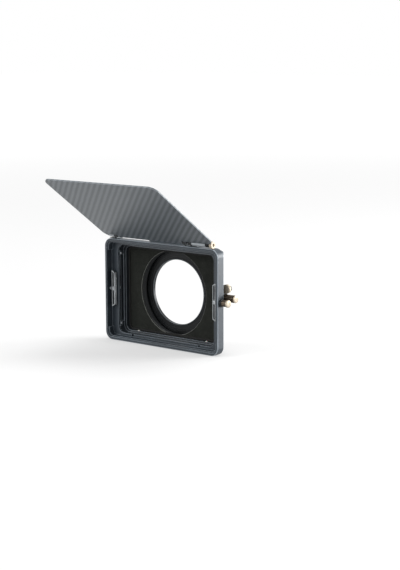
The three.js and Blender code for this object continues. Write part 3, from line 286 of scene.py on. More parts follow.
# Two-by-two carbon twill under satin resin: crossing tows catch the light unlike each other and step over in
# diagonals, a little uneven because the cloth was laid by hand.
def carbonTwill(hingeLine, tilt):
    look = {
        "tow": 2.1, "warp": "757c82", "weft": "4c5359", "seam": "373d41", "edge": "9ba2a7",
        "waver": 14, "waverReach": 0.7, "filaments": 9,
    }
    material, tree, surface = newMaterial("carbonTwill", {
        "Metallic": 0.2, "Coat Weight": 0.3, "Coat Roughness": 0.35, "Specular IOR Level": 0.5,
    })
    place = put(tree, "TexCoord").outputs["Object"]
    level = put(tree, "VectorRotate", {
        "rotation_type": "X_AXIS", "Center": hingeLine, "Angle": tilt,
    }, {"Vector": place})
    waver = put(tree, "TexNoise", {"Scale": perMetre(look["waver"]), "Detail": 2}, {"Vector": level})
    drawn = put(tree, "VectorMath", {
        "operation": "MULTIPLY_ADD", 1: (look["waverReach"] * mm,) * 3,
    }, {0: waver.outputs["Color"], 2: level})
    tows = put(tree, "VectorMath", {"operation": "SCALE", "Scale": perMetre(look["tow"])}, {0: drawn})
    parts = put(tree, "SeparateXYZ", {}, {0: tows})
    warpRun, weftRun = parts.outputs[0], parts.outputs[1]
    cells = [put(tree, "Math", {"operation": "FLOOR"}, {0: run}) for run in (warpRun, weftRun)]
    cell = put(tree, "Math", {"operation": "ADD"}, {0: cells[0], 1: cells[1]})
    phase = put(tree, "Math", {"operation": "FLOORED_MODULO", 1: 4}, {0: cell})
    warpOver = put(tree, "MapRange", {
        "From Min": 1.2, "From Max": 1.8, "To Min": 1, "To Max": 0,
    }, {"Value": phase})
    crowns = []
    for run in (warpRun, weftRun):
        share = put(tree, "Math", {"operation": "FRACT"}, {0: run})
        arch = put(tree, "Math", {"operation": "MULTIPLY", 1: math.pi}, {0: share})
        crowns.append(put(tree, "Math", {"operation": "SINE"}, {0: arch}))
    height = put(tree, "Mix", {"data_type": "FLOAT"}, {0: warpOver, 2: crowns[1], 3: crowns[0]})
    strands = []
    for stretch in ((look["filaments"], 1, 1), (1, look["filaments"], 1)):
        stretched = put(tree, "VectorMath", {"operation": "MULTIPLY", 1: stretch}, {0: tows})
        strands.append(put(tree, "TexNoise", {"Scale": 1, "Detail": 2}, {"Vector": stretched}))
    filament = put(tree, "Mix", {"data_type": "FLOAT"}, {0: warpOver, 2: strands[1], 3: strands[0]})
    tone = put(tree, "Mix", {
        "data_type": "RGBA", 6: look["weft"], 7: look["warp"],
    }, {0: warpOver}).outputs[2]
    layers = (
        ("seam", put(tree, "MapRange", {**noiseSpan, "To Max": 0.3}, {"Value": filament})),
        ("seam", put(tree, "MapRange", {"From Max": 0.5, "To Min": 0.35, "To Max": 0}, {"Value": height})),
        ("edge", put(tree, "Attribute", {"attribute_name": "edgeWear"}).outputs["Fac"]),
    )
    for colour, share in layers:
        tone = put(tree, "Mix", {
            "data_type": "RGBA", 7: look[colour],
        }, {0: share, 6: tone}).outputs[2]
    feed(surface, {
        "Base Color": tone,
        "Roughness": put(tree, "MapRange", {"To Min": 0.42, "To Max": 0.6}, {"Value": filament}),
        "Normal": put(tree, "Bump", {"Strength": 0.2, "Distance": 0.06 * mm}, {"Height": height}),
    })
    return material


# Shape helpers, all in millimetres until a piece is finished

def emptyWork():
    work = bmesh.new()
    work.faces.layers.float.new("edgeWear")
    return work


# The mark of faces paled as wear and as painted highlight, made anew where a mesh came without it.
def wearAndHighlightLayer(work):
    return work.faces.layers.float.get("edgeWear") or work.faces.layers.float.new("edgeWear")


def tidied(work):
    bmesh.ops.remove_doubles(work, verts=work.verts, dist=weld)
    bmesh.ops.recalc_face_normals(work, faces=work.faces)
    return work


# Joins the flat triangles that a boolean or a solid's own mesh leaves. Seams on the middle planes
# split each face that runs round a hole, because a ring of a face folds over its hole in a bevel.
def merged(work):
    wearAndHighlightLayer(work)
    bmesh.ops.remove_doubles(work, verts=work.verts, dist=weld)
    for axis in ("x", "z"):
        halved = bmesh.ops.bisect_plane(
            work, geom=[*work.verts, *work.edges, *work.faces], dist=weld, plane_co=(0, 0, 0),
            plane_no=axes[axis],
        )
        for item in halved["geom_cut"]:
            if isinstance(item, bmesh.types.BMEdge):
                item.seam = True
    bmesh.ops.dissolve_limit(
        work, angle_limit=math.radians(0.5), verts=work.verts, edges=work.edges, delimit={"SEAM"},
    )
    return work


def fromCad(node):
    work = bmesh.new()
    work.from_mesh(nodes[node].data)
    bmesh.ops.scale(work, vec=(1 / mm,) * 3, verts=work.verts)
    return merged(work)


def boxOf(node):
    low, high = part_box(node)
    return low / mm, high / mm


# The centre of a node's box, on the given axis line.
def lineOf(node, axis):
    low, high = boxOf(node)
    centre = (low + high) / 2
    centre["xyz".index(axis)] = 0
    return centre


# A node's least and greatest distance from an axis line.
def radialReach(node, axis="y", centre=(0, 0, 0)):
    around = Vector((1, 1, 1)) - axes[axis]
    reaches = [((vertex.co / mm - Vector(centre)) * around).length for vertex in nodes[node].data.vertices]
    return min(reaches), max(reaches)


# Bevels the edges, and marks what it makes so that the finish can pale there, as wear and as painted highlight.
def roundEdges(work, edges, width, segments=2, wear=1.0):
    if not edges:
        return
    layer = wearAndHighlightLayer(work)
    made = bmesh.ops.bevel(
        work, geom=list(edges), offset=width, offset_type="OFFSET", affect="EDGES", segments=segments,
        profile=0.5, material=-1, clamp_overlap=False,
    )
    for face in made["faces"]:
        face[layer] = wear


def sharpEdges(work, angle=30, shortest=0):
    limit = math.radians(angle)
    return [
        edge for edge in work.edges
        if len(edge.link_faces) == 2 and edge.calc_face_angle() > limit and edge.calc_length() > shortest
    ]


# Cuts a profile's corners. A corner's third number is how far it is cut back each way, and a fourth
# keeps a middle point, that share of it off the corner.
def cornersCut(corners):
    profile = []
    for index, (radius, place, *cuts) in enumerate(corners):
        if not cuts:
            profile.append((radius, place))
            continue
        ways = []
        for other in (corners[index - 1], corners[(index + 1) % len(corners)]):
            reach = math.dist((radius, place), other[:2])
            ways.append([(other[0] - radius) / reach * cuts[0], (other[1] - place) / reach * cuts[0]])
        between = [[(a + b) * share for a, b in zip(*ways)] for share in cuts[1:]]
        for outward, along in (ways[0], *between, ways[1]):
            profile.append((radius + outward, place + along))
    return profile


# A profile of radius and place along the axis, turned all the way round.
def spun(corners, axis, centre=(0, 0, 0), steps=64, closed=True):
    profile = cornersCut(corners)
    work = emptyWork()
    along = axes[axis]
    outward = axes["z" if axis != "z" else "x"]
    points = [
        work.verts.new(Vector(centre) + outward * radius + along * place) for radius, place in profile
    ]
    pairs = list(zip(points, points[1:]))
    if closed:
        pairs.append((points[-1], points[0]))
    edges = [work.edges.new(pair) for pair in pairs]
    bmesh.ops.spin(
        work, geom=points + edges, cent=centre, axis=along, dvec=(0, 0, 0), angle=math.tau, steps=steps,
        use_merge=True, use_duplicate=False,
    )
    return tidied(work)


def raised(work, rise):
    made = bmesh.ops.extrude_face_region(work, geom=list(work.faces))
    moved = [item for item in made["geom"] if isinstance(item, bmesh.types.BMVert)]
    bmesh.ops.translate(work, vec=rise, verts=moved)
    return tidied(work)


def roundCorners(work, corners, radius, segments):
    bmesh.ops.bevel(
        work, geom=list(corners), offset=radius, offset_type="OFFSET", affect="VERTICES", segments=segments,
        profile=0.5, material=-1, clamp_overlap=False,
    )


# A rounded rectangle in X and Z, standing from one depth to another.
def roundedSlab(width, height, radius, front, back, segments=10):
    work = emptyWork()
    bmesh.ops.create_grid(work, x_segments=1, y_segments=1, size=0.5)
    bmesh.ops.scale(work, vec=(width, height, 1), verts=work.verts)
    roundCorners(work, work.verts, radius, segments)
    bmesh.ops.rotate(work, cent=(0, 0, 0), matrix=Matrix.Rotation(math.pi / 2, 3, "X"), verts=work.verts)
    bmesh.ops.translate(work, vec=(0, front, 0), verts=work.verts)
    return raised(work, (0, back - front, 0))


def block(low, high):
    work = emptyWork()
    bmesh.ops.create_cube(work, size=1)
    low, high = Vector(low), Vector(high)
    bmesh.ops.scale(work, vec=high - low, verts=work.verts)
    bmesh.ops.translate(work, vec=(low + high) / 2, verts=work.verts)
    return work


def rod(radius, start, end, axis, centre=(0, 0, 0), steps=32):
    return spun([(0, start), (radius, start), (radius, end), (0, end)], axis, centre, steps, closed=False)


def toObject(work, name):
    mesh = bpy.data.meshes.new(name)
    work.to_mesh(mesh)
    work.free()
    thing = bpy.data.objects.new(name, mesh)
    bpy.context.scene.collection.objects.link(thing)
    return thing


# Cuts or joins solids, and gives the result as one new work mesh.
def carve(work, cutters, operation="DIFFERENCE"):
    target = toObject(work, "carved")
    helpers = [toObject(cutter, "cutter") for cutter in cutters]
    for helper in helpers:
        modifier = target.modifiers.new("carve", "BOOLEAN")
        modifier.operation, modifier.object, modifier.solver = operation, helper, "EXACT"
    result = bmesh.new()
    result.from_mesh(target.evaluated_get(bpy.context.evaluated_depsgraph_get()).to_mesh())
    for thing in [target, *helpers]:
        mesh = thing.data
        bpy.data.objects.remove(thing)
        bpy.data.meshes.remove(mesh)
    return merged(result)


# A node's finished piece: in metres, smooth but for its sharp edges, riding with the node's body.
def finished(work, material, node, smoothAngle=32):
    words = node.split("_")
    bmesh.ops.scale(work, vec=(mm,) * 3, verts=work.verts)
    piece = toObject(work, words[0] + "".join(word.capitalize() for word in words[1:]))
    for polygon in piece.data.polygons:
        polygon.use_smooth = True
    piece.data.set_sharp_from_angle(angle=math.radians(smoothAngle))
    piece.data.materials.append(material)
    piece.modifiers.new("weightedNormals", "WEIGHTED_NORMAL").keep_sharp = True
    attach(piece, bodyOf[node])
    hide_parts(node)
    return piece


# Camera, floor and light

def makeCamera():
    view = {
        "place": (1.1176, -1.3036, 0.2851), "elevation": 9.206, "azimuth": 40.016, "roll": -0.187,
        "lens": 94.0, "sensor": 36, "nearest": 0.05,
    }
    camera = bpy.data.objects.new("camera", bpy.data.cameras.new("camera"))
    camera.data.lens, camera.data.sensor_width = view["lens"], view["sensor"]
    camera.data.clip_start = view["nearest"]
    turn = Matrix.Rotation(math.radians(view["azimuth"]), 4, "Z")
    nod = Matrix.Rotation(math.radians(90 - view["elevation"]), 4, "X")
    lean = Matrix.Rotation(math.radians(view["roll"]), 4, "Z")
    camera.matrix_world = Matrix.Translation(view["place"]) @ turn @ nod @ lean
    bpy.context.scene.collection.objects.link(camera)
    bpy.context.scene.camera = camera


# White where a ray from the camera, a gloss or a glass sees it.
def seenRays(tree):
    rays = put(tree, "LightPath")
    seen = rays.outputs["Is Camera Ray"]
    for kind in ("Is Glossy Ray", "Is Transmission Ray"):
        seen = put(tree, "Math", {"operation": "MAXIMUM"}, {0: seen, 1: rays.outputs[kind]})
    return seen


# A pale floor that glows a little where it is seen, and more far from the lamps, so that it stays white.
def makeFloor():
    floor = {
        "size": 12, "below": 0.2, "colour": "a9a9a9", "shown": 0.48, "farShown": 0.76,
        "near": 0.6, "far": 3.5,
    }
    work = bmesh.new()
    bmesh.ops.create_grid(work, x_segments=1, y_segments=1, size=floor["size"])
    bmesh.ops.translate(work, vec=(0, 0, cadBounds[0][2] - floor["below"] * mm), verts=work.verts)
    ground = toObject(work, "floor")
    material, tree, surface = newMaterial("paleFloor", {
        "Base Color": floor["colour"], "Roughness": 1, "Specular IOR Level": 0,
    })
    reach = put(tree, "VectorMath", {"operation": "LENGTH"}, {0: put(tree, "TexCoord").outputs["Object"]})
    shown = put(tree, "MapRange", {
        "From Min": floor["near"], "From Max": floor["far"],
        "To Min": floor["shown"], "To Max": floor["farShown"],
    }, {"Value": reach.outputs["Value"]})
    strength = put(tree, "Math", {"operation": "MULTIPLY"}, {0: seenRays(tree), 1: shown})
    glow = put(tree, "Emission", {"Color": "ffffff"}, {"Strength": strength})
    both = put(tree, "AddShader", {}, {0: surface, 1: glow})
    feed(tree.nodes["Material Output"], {"Surface": both})
    ground.data.materials.append(material)


def makeWorld():
    sky = {"light": 0.65, "shown": 1.0, "colour": "ffffff"}
    world = bpy.data.worlds.new("studio")
    world.use_nodes = True
    bpy.context.scene.world = world
    back = world.node_tree.nodes["Background"]
    adjust(back, {"Color": sky["colour"]})
    strength = put(world.node_tree, "MapRange", {
        "To Min": sky["light"], "To Max": sky["shown"],
    }, {"Value": seenRays(world.node_tree)})
    feed(back, {"Strength": strength})


# Soft square lamps: a strong one beside and behind, a weak one in front, and one above.
def makeLamps():
    lamps = {
        "sideSoftbox": {"place": (1.25, 1.25, 0.3), "size": 0.9, "power": 45},
        "frontFill": {"place": (-0.9, -1.7, 1.2), "size": 1.2, "power": 18},
        "topLight": {"place": (0.2, 0.2, 1.8), "size": 1.0, "power": 16},
    }
    for name, lamp in lamps.items():
        light = bpy.data.lights.new(name, "AREA")
        light.shape, light.size, light.energy = "SQUARE", lamp["size"], lamp["power"]
        thing = bpy.data.objects.new(name, light)
        thing.location = lamp["place"]
        thing.rotation_euler = (-Vector(lamp["place"])).to_track_quat("-Z", "Y").to_euler()
        thing.visible_camera = False
        bpy.context.scene.collection.objects.link(thing)


makeCamera()
makeFloor()
makeWorld()
makeLamps()
print("stage ready")

hingeLine = jointOf["flag_fold"]["pos_m"]
flagTilt = math.radians(35.4)  # how far the open flag leans up from level
skins = {
    "shell": metalFinish("slateAnodising", slateAnodising),
    "deepShell": metalFinish("deepSlateAnodising", recessShadedAnodising),
    "clip": metalFinish("rubbedGreyAnodising", clipAnodisingWithPaintedLight),
    "milledBlack": metalFinish("milledBlackAnodising", blackAnodising),
    "milledGrey": metalFinish("milledGreyAnodising", greyAnodising),
    "milledSteel": metalFinish("milledSteel", turnedSteel),
    "steelBall": metalFinish("polishedSteel", turnedSteel),
    "flocked": flockedCard(),
    "rubber": mouldedRubber(),
    "nylon": turnedNylon(),
    "carbon": carbonTwill(hingeLine, flagTilt),
}
looksByName = {
    "BlackAnodising": blackAnodising, "PaleBrass": paleBrass, "AgedBronze": agedBronze, "Steel": turnedSteel,
    "BlackOxide": blackOxide,
}


# Turned pieces share one skin for each finish and axis line.
def lathed(lookName, axis, centre=(0, 0, 0)):
    key = (lookName, axis, *[round(value, 1) for value in centre])
    if key not in skins:
        skins[key] = metalFinish(f"turned{lookName}{len(skins)}", looksByName[lookName], axis, centre)
    return skins[key]


print("materials ready")


# Frames: the nodes' own solids with softened edges, paled as burnish and as painted highlight

shells = {
    "rimRound": 0.8, "rimSegments": 4, "backRound": 0.6, "backSegments": 3, "edgeRound": 0.24,
    "innerWear": 0.8, "level": 0.02,
}


# The outer edges of the ring of faces at one depth.
def outerRim(work, depth):
    chosen = []
    for edge in sharpEdges(work):
        if all(abs(vert.co.y - depth) < shells["level"] for vert in edge.verts):
            side = min(edge.link_faces, key=lambda face: abs(face.normal.y))
            middle = (edge.verts[0].co + edge.verts[1].co) / 2
            if side.normal.dot(Vector((middle.x, 0, middle.z))) > 0:
                chosen.append(edge)
    return chosen


def makeFrontFrame():
    work = fromCad("front_frame")
    low, high = boxOf("front_frame")
    roundEdges(work, outerRim(work, low.y), shells["rimRound"], shells["rimSegments"])
    roundEdges(work, outerRim(work, high.y), shells["backRound"], shells["backSegments"])
    layer = wearAndHighlightLayer(work)
    # Its other edges pale a little less, as wear and as painted highlight.
    rest = [edge for edge in sharpEdges(work) if all(face[layer] == 0 for face in edge.link_faces)]
    roundEdges(work, rest, shells["edgeRound"], wear=shells["innerWear"])
    finished(work, skins["shell"], "front_frame")


# Pieces that are their node's own solid with its sharp edges rounded.
softened = {
    # The rear frame's skin is darkened as painted shade of its recess.
    "rear_frame": {"skin": "deepShell", "round": shells["edgeRound"]},
    "window_gasket": {"skin": "rubber", "round": 0.25, "segments": 3},
    "side_bracket": {"skin": "milledBlack", "round": 0.18, "shortest": 0.9},
    "right_hinge_bracket": {"skin": "milledBlack", "round": 0.22},
    "left_hinge_bracket": {"skin": "milledBlack", "round": 0.22},
    "top_rail": {"skin": "milledBlack", "round": 0.3, "segments": 3},
}


def softenNode(node):
    size = softened[node]
    work = fromCad(node)
    rims = sharpEdges(work, shortest=size.get("shortest", 0))
    roundEdges(work, rims, size["round"], size.get("segments", 2))
    finished(work, skins[size["skin"]], node)


makeFrontFrame()
softenNode("rear_frame")
softenNode("window_gasket")
print("frames ready")


# Back plate, with the holes of the frame screws

backPlate = {
    "corner": 7, "round": 0.3, "shortest": 1.2, "screwRadius": 1.2, "holeSteps": 128, "screwSteps": 24,
}


def makeBackPlate():
    size = backPlate
    low, high = boxOf("back_plate")
    work = roundedSlab(high.x - low.x, high.z - low.z, size["corner"], low.y, high.y)
    span = (low.y - overrun, high.y + overrun)
    cutters = [rod(radialReach("back_plate")[0], *span, "y", steps=size["holeSteps"])]
    for number in range(1, 5):
        line = lineOf(f"frame_screw_{number}", "y")
        cutters.append(rod(size["screwRadius"], *span, "y", line, size["screwSteps"]))
    work = carve(work, cutters)
    roundEdges(work, sharpEdges(work, shortest=size["shortest"]), size["round"])
    finished(work, skins["flocked"], "back_plate")


# Collar, step ring and grip ring: turned in fine steps

rings = {"steps": 128}
lensCollar = {
    "flange": 2.6, "soft": 0.35, "pitch": 1.6, "turns": 4, "threadDepth": 0.6, "threadFlat": 0.16,
    "shoulder": (35.9, 37.3), "shoulderReach": 3.0, "boreSetout": 0.8, "wall": 4.0, "rearBevel": 0.8,
    "bandSetback": 5.2, "bandWidth": 0.9, "bandDepth": 0.35,
    "lugLength": 8, "lugSink": 2.5, "lugRound": 0.6, "lugSegments": 3, "splitWidth": 2.0,
    "clampBore": 1.6, "threadWear": 0.25,
}


def collarProfile(front, back, flangeRadius, shoulderRadius):
    size = lensCollar
    soft = size["soft"]
    rim = boxOf("front_frame")[0].y
    threadRadius = shoulderRadius + size["shoulderReach"]
    boreRadius = threadRadius + size["boreSetout"]
    tubeRadius = boreRadius + size["wall"]
    flangeBack = front + size["flange"]
    bandBack = back - size["bandSetback"]
    bandDepth = size["bandDepth"]
    shoulderFront, shoulderBack = (rim + depth for depth in size["shoulder"])
    bandFront = bandBack - size["bandWidth"]
    corners = [
        (threadRadius + soft, front), (flangeRadius, front, soft), (flangeRadius, flangeBack, soft),
        (tubeRadius, flangeBack, soft), (tubeRadius, bandFront),
        (tubeRadius - bandDepth, bandFront + bandDepth), (tubeRadius - bandDepth, bandBack - bandDepth),
        (tubeRadius, bandBack), (tubeRadius, back, size["rearBevel"]), (boreRadius, back, soft),
        (boreRadius, shoulderBack), (shoulderRadius, shoulderBack, soft),
        (shoulderRadius, shoulderFront, soft), (threadRadius, shoulderFront),
    ]
    crest = threadRadius - size["threadDepth"]
    for turn in range(size["turns"], 0, -1):
        root = front + turn * size["pitch"]
        middle = root - size["pitch"] / 2
        corners.append((threadRadius, root))
        corners += [(crest, middle + size["threadFlat"]), (crest, middle - size["threadFlat"])]
    return corners + [(threadRadius, front + soft)], boreRadius, crest


def makeLensCollar():
    size = lensCollar
    low, high = boxOf("lens_collar")
    shoulderRadius = radialReach("lens_collar")[0]
    profile, boreRadius, crest = collarProfile(low.y, high.y, -low.x, shoulderRadius)
    work = spun(profile, "y", steps=rings["steps"])
    layer = wearAndHighlightLayer(work)
    # The thread crests pale as wear and as painted highlight.
    threadEnd = low.y + size["turns"] * size["pitch"]
    for face in work.faces:
        middle = face.calc_center_median()
        if math.hypot(middle.x, middle.z) < crest + weld and middle.y < threadEnd:
            face[layer] = size["threadWear"]
    screwLine = lineOf("clamp_screw", "z")
    halfLug = -boxOf("clamp_nut")[1].z - gap
    halfLength = size["lugLength"] / 2
    lug = block(
        (boreRadius + size["lugSink"], screwLine.y - halfLength, -halfLug),
        (high.x, screwLine.y + halfLength, halfLug),
    )
    outer = [edge for edge in lug.edges if max(vert.co.x for vert in edge.verts) > high.x - weld]
    roundEdges(lug, outer, size["lugRound"], size["lugSegments"])
    work = carve(work, [lug], "UNION")
    splitFront = low.y + size["flange"] + gap
    halfSplit = size["splitWidth"] / 2
    work = carve(work, [
        block(
            (shoulderRadius - overrun, splitFront, -halfSplit),
            (high.x + overrun, high.y + overrun, halfSplit),
        ),
        rod(size["clampBore"], -halfLug - overrun, halfLug + overrun, "z", screwLine),
    ])
    finished(work, lathed("BlackAnodising", "y"), "lens_collar")


stepRing = {
    "lipWidth": 0.8, "lipHeight": 1.1, "grooves": 3, "pitch": 2.6, "width": 0.7, "depth": 0.4, "setout": 3.0,
    "soft": 0.16, "lipKnee": 0.5, "footShare": 1.5, "brightShare": 1.4,
}


def makeStepRing():
    size = stepRing
    low, high = boxOf("step_ring")
    inner, outer = radialReach("step_ring")
    front = low.y + size["lipHeight"]
    soft, wide = size["soft"], size["lipWidth"]
    profile = [
        (inner, low.y, soft * 2, size["lipKnee"]), (inner + wide - soft, low.y),
        (inner + wide, low.y + soft),
        (inner + wide * size["footShare"], front - soft * 2), (inner + wide * 2, front),
    ]
    for index in range(size["grooves"]):
        start = inner + size["setout"] + index * size["pitch"]
        end = start + size["width"]
        floor = front + size["depth"]
        profile += [(start, front), (start + soft, floor), (end - soft, floor), (end, front)]
    profile += [(outer, front, soft), (outer, high.y, soft), (inner, high.y, soft)]
    work = spun(profile, "y", steps=rings["steps"])
    # The front lip's faces pale as edge wear and as painted highlight.
    layer = wearAndHighlightLayer(work)
    for face in work.faces:
        middle = face.calc_center_median()
        reach = math.hypot(middle.x, middle.z)
        if middle.y < front - soft and reach < inner + wide * size["brightShare"]:
            face[layer] = 1
    finished(work, lathed("BlackAnodising", "y"), "step_ring")


# A rib's profile is in shares of its height and of the pitch.
gripRing = {
    "ribs": 4, "ribHeight": 0.5, "soft": 0.2, "ribShares": ((1, 0), (0.3, 0.2), (0, 0.5), (0.3, 0.8)),
}


def makeGripRing():
    size = gripRing
    soft, rise = size["soft"], size["ribHeight"]
    low, high = boxOf("grip_ring")
    bore, outer = radialReach("grip_ring")
    pitch = (high.y - low.y) / size["ribs"]
    profile = [(bore + rise, low.y), (outer, low.y, soft), (outer, high.y, soft)]
    for rib in range(size["ribs"], 0, -1):
        back = low.y + rib * pitch
        profile += [(bore + rise * up, back - pitch * along) for up, along in size["ribShares"]]
    finished(spun(profile, "y", steps=rings["steps"]), skins["rubber"], "grip_ring")


makeBackPlate()
makeLensCollar()
makeStepRing()
makeGripRing()
print("plate and rings ready")


# Screws: a low head with a bevelled rim and a hex socket, on a shank with fine turns

screws = {
    "bevel": 0.3, "socketShare": 0.5, "socketDepthShare": 0.7, "pitch": 0.5, "threadDepth": 0.14,
    "steps": 48,
    "frame_screw": {"axis": "y", "head": 1.7, "height": 1.0, "shank": 0.9, "look": "Steel"},
    "side_bracket_screw": {"axis": "x", "head": 1.3, "height": 0.9, "shank": 0.7, "look": "Steel"},
    "top_rail_screw": {"axis": "z", "head": 2.3, "height": 1.3, "shank": 1.2, "look": "Steel"},
    "hinge_bracket_screw": {"axis": "z", "head": 2.0, "height": 1.0, "shank": 1.1, "look": "BlackOxide"},
    "clamp_screw": {"axis": "z", "head": 2.8, "height": 2.2, "shank": 1.3, "look": "Steel"},
}


# Half turns of thread as a profile, from one place towards another.
def threaded(radius, start, turns, pitch, depth):
    places = [start + turn * pitch for turn in range(turns)]
    return [point for place in places for point in ((radius - depth, place), (radius, place + pitch / 2))]


def makeScrew(kind, number=None):
    size, own = screws, screws[kind]
    node = f"{kind}_{number}" if number else kind
    axis, head, height = own["axis"], own["head"], own["height"]
    low, high = boxOf(node)
    centre = lineOf(node, axis)
    tip, top = low["xyz".index(axis)], high["xyz".index(axis)]
    seat = top - height
    bevel, pitch, depth = size["bevel"], size["pitch"], size["threadDepth"]
    core = own["shank"] - depth
    turns = int((seat - tip) / pitch) - 1
    profile = [(0, tip), (core - depth, tip)]
    profile += threaded(own["shank"], tip + pitch / 2, turns, pitch, depth)
    profile += [(core, seat), (head, seat, bevel * knee), (head, top, bevel, knee), (0, top)]
    work = spun(profile, axis, centre, size["steps"], closed=False)
    floor = top - height * size["socketDepthShare"]
    socket = rod(head * size["socketShare"], floor, top + overrun, axis, centre, hexSides)
    finished(carve(work, [socket]), lathed(own["look"], axis, centre), node)


for number in range(1, 5):
    makeScrew("frame_screw", number)
for number in (1, 2):
    makeScrew("side_bracket_screw", number)
    makeScrew("top_rail_screw", number)
for number in (1, 2, 3):
    makeScrew("hinge_bracket_screw", number)
makeScrew("clamp_screw")


clampNut = {"hole": 1.6, "round": 0.25, "shortest": 1.2}


def makeClampNut():
    size = clampNut
    low, high = boxOf("clamp_nut")
    centre = lineOf("clamp_nut", "z")
    work = rod(radialReach("clamp_nut", "z", centre)[1], low.z, high.z, "z", centre, hexSides)
    work = carve(work, [rod(size["hole"], low.z - overrun, high.z + overrun, "z", centre)])
    roundEdges(work, sharpEdges(work, shortest=size["shortest"]), size["round"])
    finished(work, skins["milledSteel"], "clamp_nut")


makeClampNut()
print("screws ready")


# Clip bars, their stems, springs and outside parts

# A face looks along an axis where its normal has more than the facing share of it.
clipBar = {
    "round": 0.15, "frontReach": 0.3, "wallReach": 1.2, "facing": 0.9, "rubbedWear": 0.8, "edgeWear": 0.4,
}


# Pales a clip bar's front faces, and those of its free wall that look to the right, as painted light; its other
# rounded edges pale as wear and painted highlight.
def makeClipBar(node):
    size = clipBar
    low, high = boxOf(node)
    wall = min(abs(low.x), abs(high.x)) + size["wallReach"]
    work = fromCad(node)
    roundEdges(work, sharpEdges(work), size["round"])
    layer = wearAndHighlightLayer(work)
    for face in work.faces:
        middle = face.calc_center_median()
        # Faces that look to the front or to the right take painted light by their direction.
        front = face.normal.y < -size["facing"] and middle.y < low.y + size["frontReach"]
        if front or (face.normal.x > size["facing"] and abs(middle.x) < wall):
            face[layer] = size["rubbedWear"]
        elif face[layer] > 0:
            face[layer] = size["edgeWear"]
    finished(work, skins["clip"], node)


makeClipBar("left_clip_bar")
makeClipBar("right_clip_bar")

# The dome's steps are in shares of the cap's radius and of the dome that is still to rise.
catches = {
    "soft": 0.25, "ridges": 14, "ridgeDepth": 0.4, "ridgeSteps": 8, "ridgeWear": 0.5, "dome": 0.4,
    "domeKnee": 0.4, "domeShares": ((0.82, 0.35), (0.55, 0)), "dimple": 1.1, "dimpleDepth": 0.2,
    "steps": 64,
}
clipLine = lineOf("right_clip_stem", "x")
latchLine = lineOf("latch_pin", "x")
stagePinLine = lineOf("stage_pin", "x")


def turnAndFinish(node, profile, lookName, centre, closed=False):
    work = spun(profile, "x", (0, centre.y, centre.z), catches["steps"], closed)
    finished(work, lathed(lookName, "x", centre), node)


# Presses grooves between the ridges of a turned grip.
def pressRidges(work, axis, centre, radius, span):
    low, high = span
    along = axes[axis]
    steps = catches["ridgeSteps"]
    layer = wearAndHighlightLayer(work)
    crests = set()
    for vert in work.verts:
        reach = vert.co - Vector(centre)
        outward = reach - along * reach.dot(along)
        if not low - weld < vert.co.dot(along) < high + weld or outward.length < radius - weld:
            continue
        side, up = [outward[index] for index in range(3) if index != "xyz".index(axis)]
        step = round(math.atan2(up, side) / math.tau * catches["ridges"] * steps) % steps
        if step > steps / 2:
            vert.co -= outward.normalized() * catches["ridgeDepth"]
        else:
            crests.add(vert)
    for face in work.faces:
        if all(vert in crests for vert in face.verts):
            face[layer] = catches["ridgeWear"]


# Each knurled grip: the bore, the hole for its stem and the wall round that hole.
grips = {
    "clip": {"bore": 2.7, "hole": 1.4, "endWall": 1.1},
    "latch": {"bore": 2.8, "hole": 1.6, "endWall": 1.2},
}


def makeHousing(node, centre, size):
    low, high = boxOf(node)
    soft, bore, hole = catches["soft"], size["bore"], size["hole"]
    bevel = soft * 2
    radius = (high.z - low.z) / 2
    start, end = low.x, high.x
    inside = end - size["endWall"]
    work = spun([
        (bore, start), (radius, start, bevel), (radius, end, bevel), (hole, end, soft), (hole, inside),
        (bore, inside),
    ], "x", (0, centre.y, centre.z), catches["ridges"] * catches["ridgeSteps"])
    pressRidges(work, "x", centre, radius, (start + bevel, end - bevel))
    finished(work, lathed("AgedBronze", "x", centre), node, smoothAngle=25)


def makeCap(node, centre, hole):
    low, high = boxOf(node)
    size = catches
    radius = (high.z - low.z) / 2
    soft, dome, dimple = size["soft"], size["dome"], size["dimple"]
    middle = (low.x + high.x) / 2 + gap
    sunk = high.x - size["dimpleDepth"]
    turnAndFinish(node, [
        (0, middle), (hole, middle), (hole, low.x), (radius, low.x, soft),
        (radius, high.x - dome - soft), (radius - soft * size["domeKnee"], high.x - dome),
        *[(radius * wide, high.x - dome * left) for wide, left in size["domeShares"]],
        (dimple + size["dimpleDepth"], high.x), (dimple, sunk), (0, sunk),
    ], "PaleBrass", centre)


# Each spring's line, coil and wire radius, turns, joint, how far that presses it, and its fixed end
springs = {
    "wireSides": 12, "turnSteps": 32,
    "left_clip_spring": {
        "line": clipLine, "coil": 2.0, "wire": 0.2, "turns": 3, "joint": "left_clip_press", "travel": 1.2,
        "fixedHigh": False,
    },
    "right_clip_spring": {
        "line": clipLine, "coil": 1.9, "wire": 0.25, "turns": 5, "joint": "right_clip_pull", "travel": 3,
        "fixedHigh": True,
    },
    "latch_spring": {
        "line": latchLine, "coil": 2.05, "wire": 0.3, "turns": 9, "joint": "rear_latch_pull", "travel": 3,
        "fixedHigh": True,
    },
    "stage_pin_spring": {
        "line": stagePinLine, "coil": 2.0, "wire": 0.09, "turns": 2, "joint": "left_stage_pin_press",
        "travel": 1, "fixedHigh": False,
    },
}
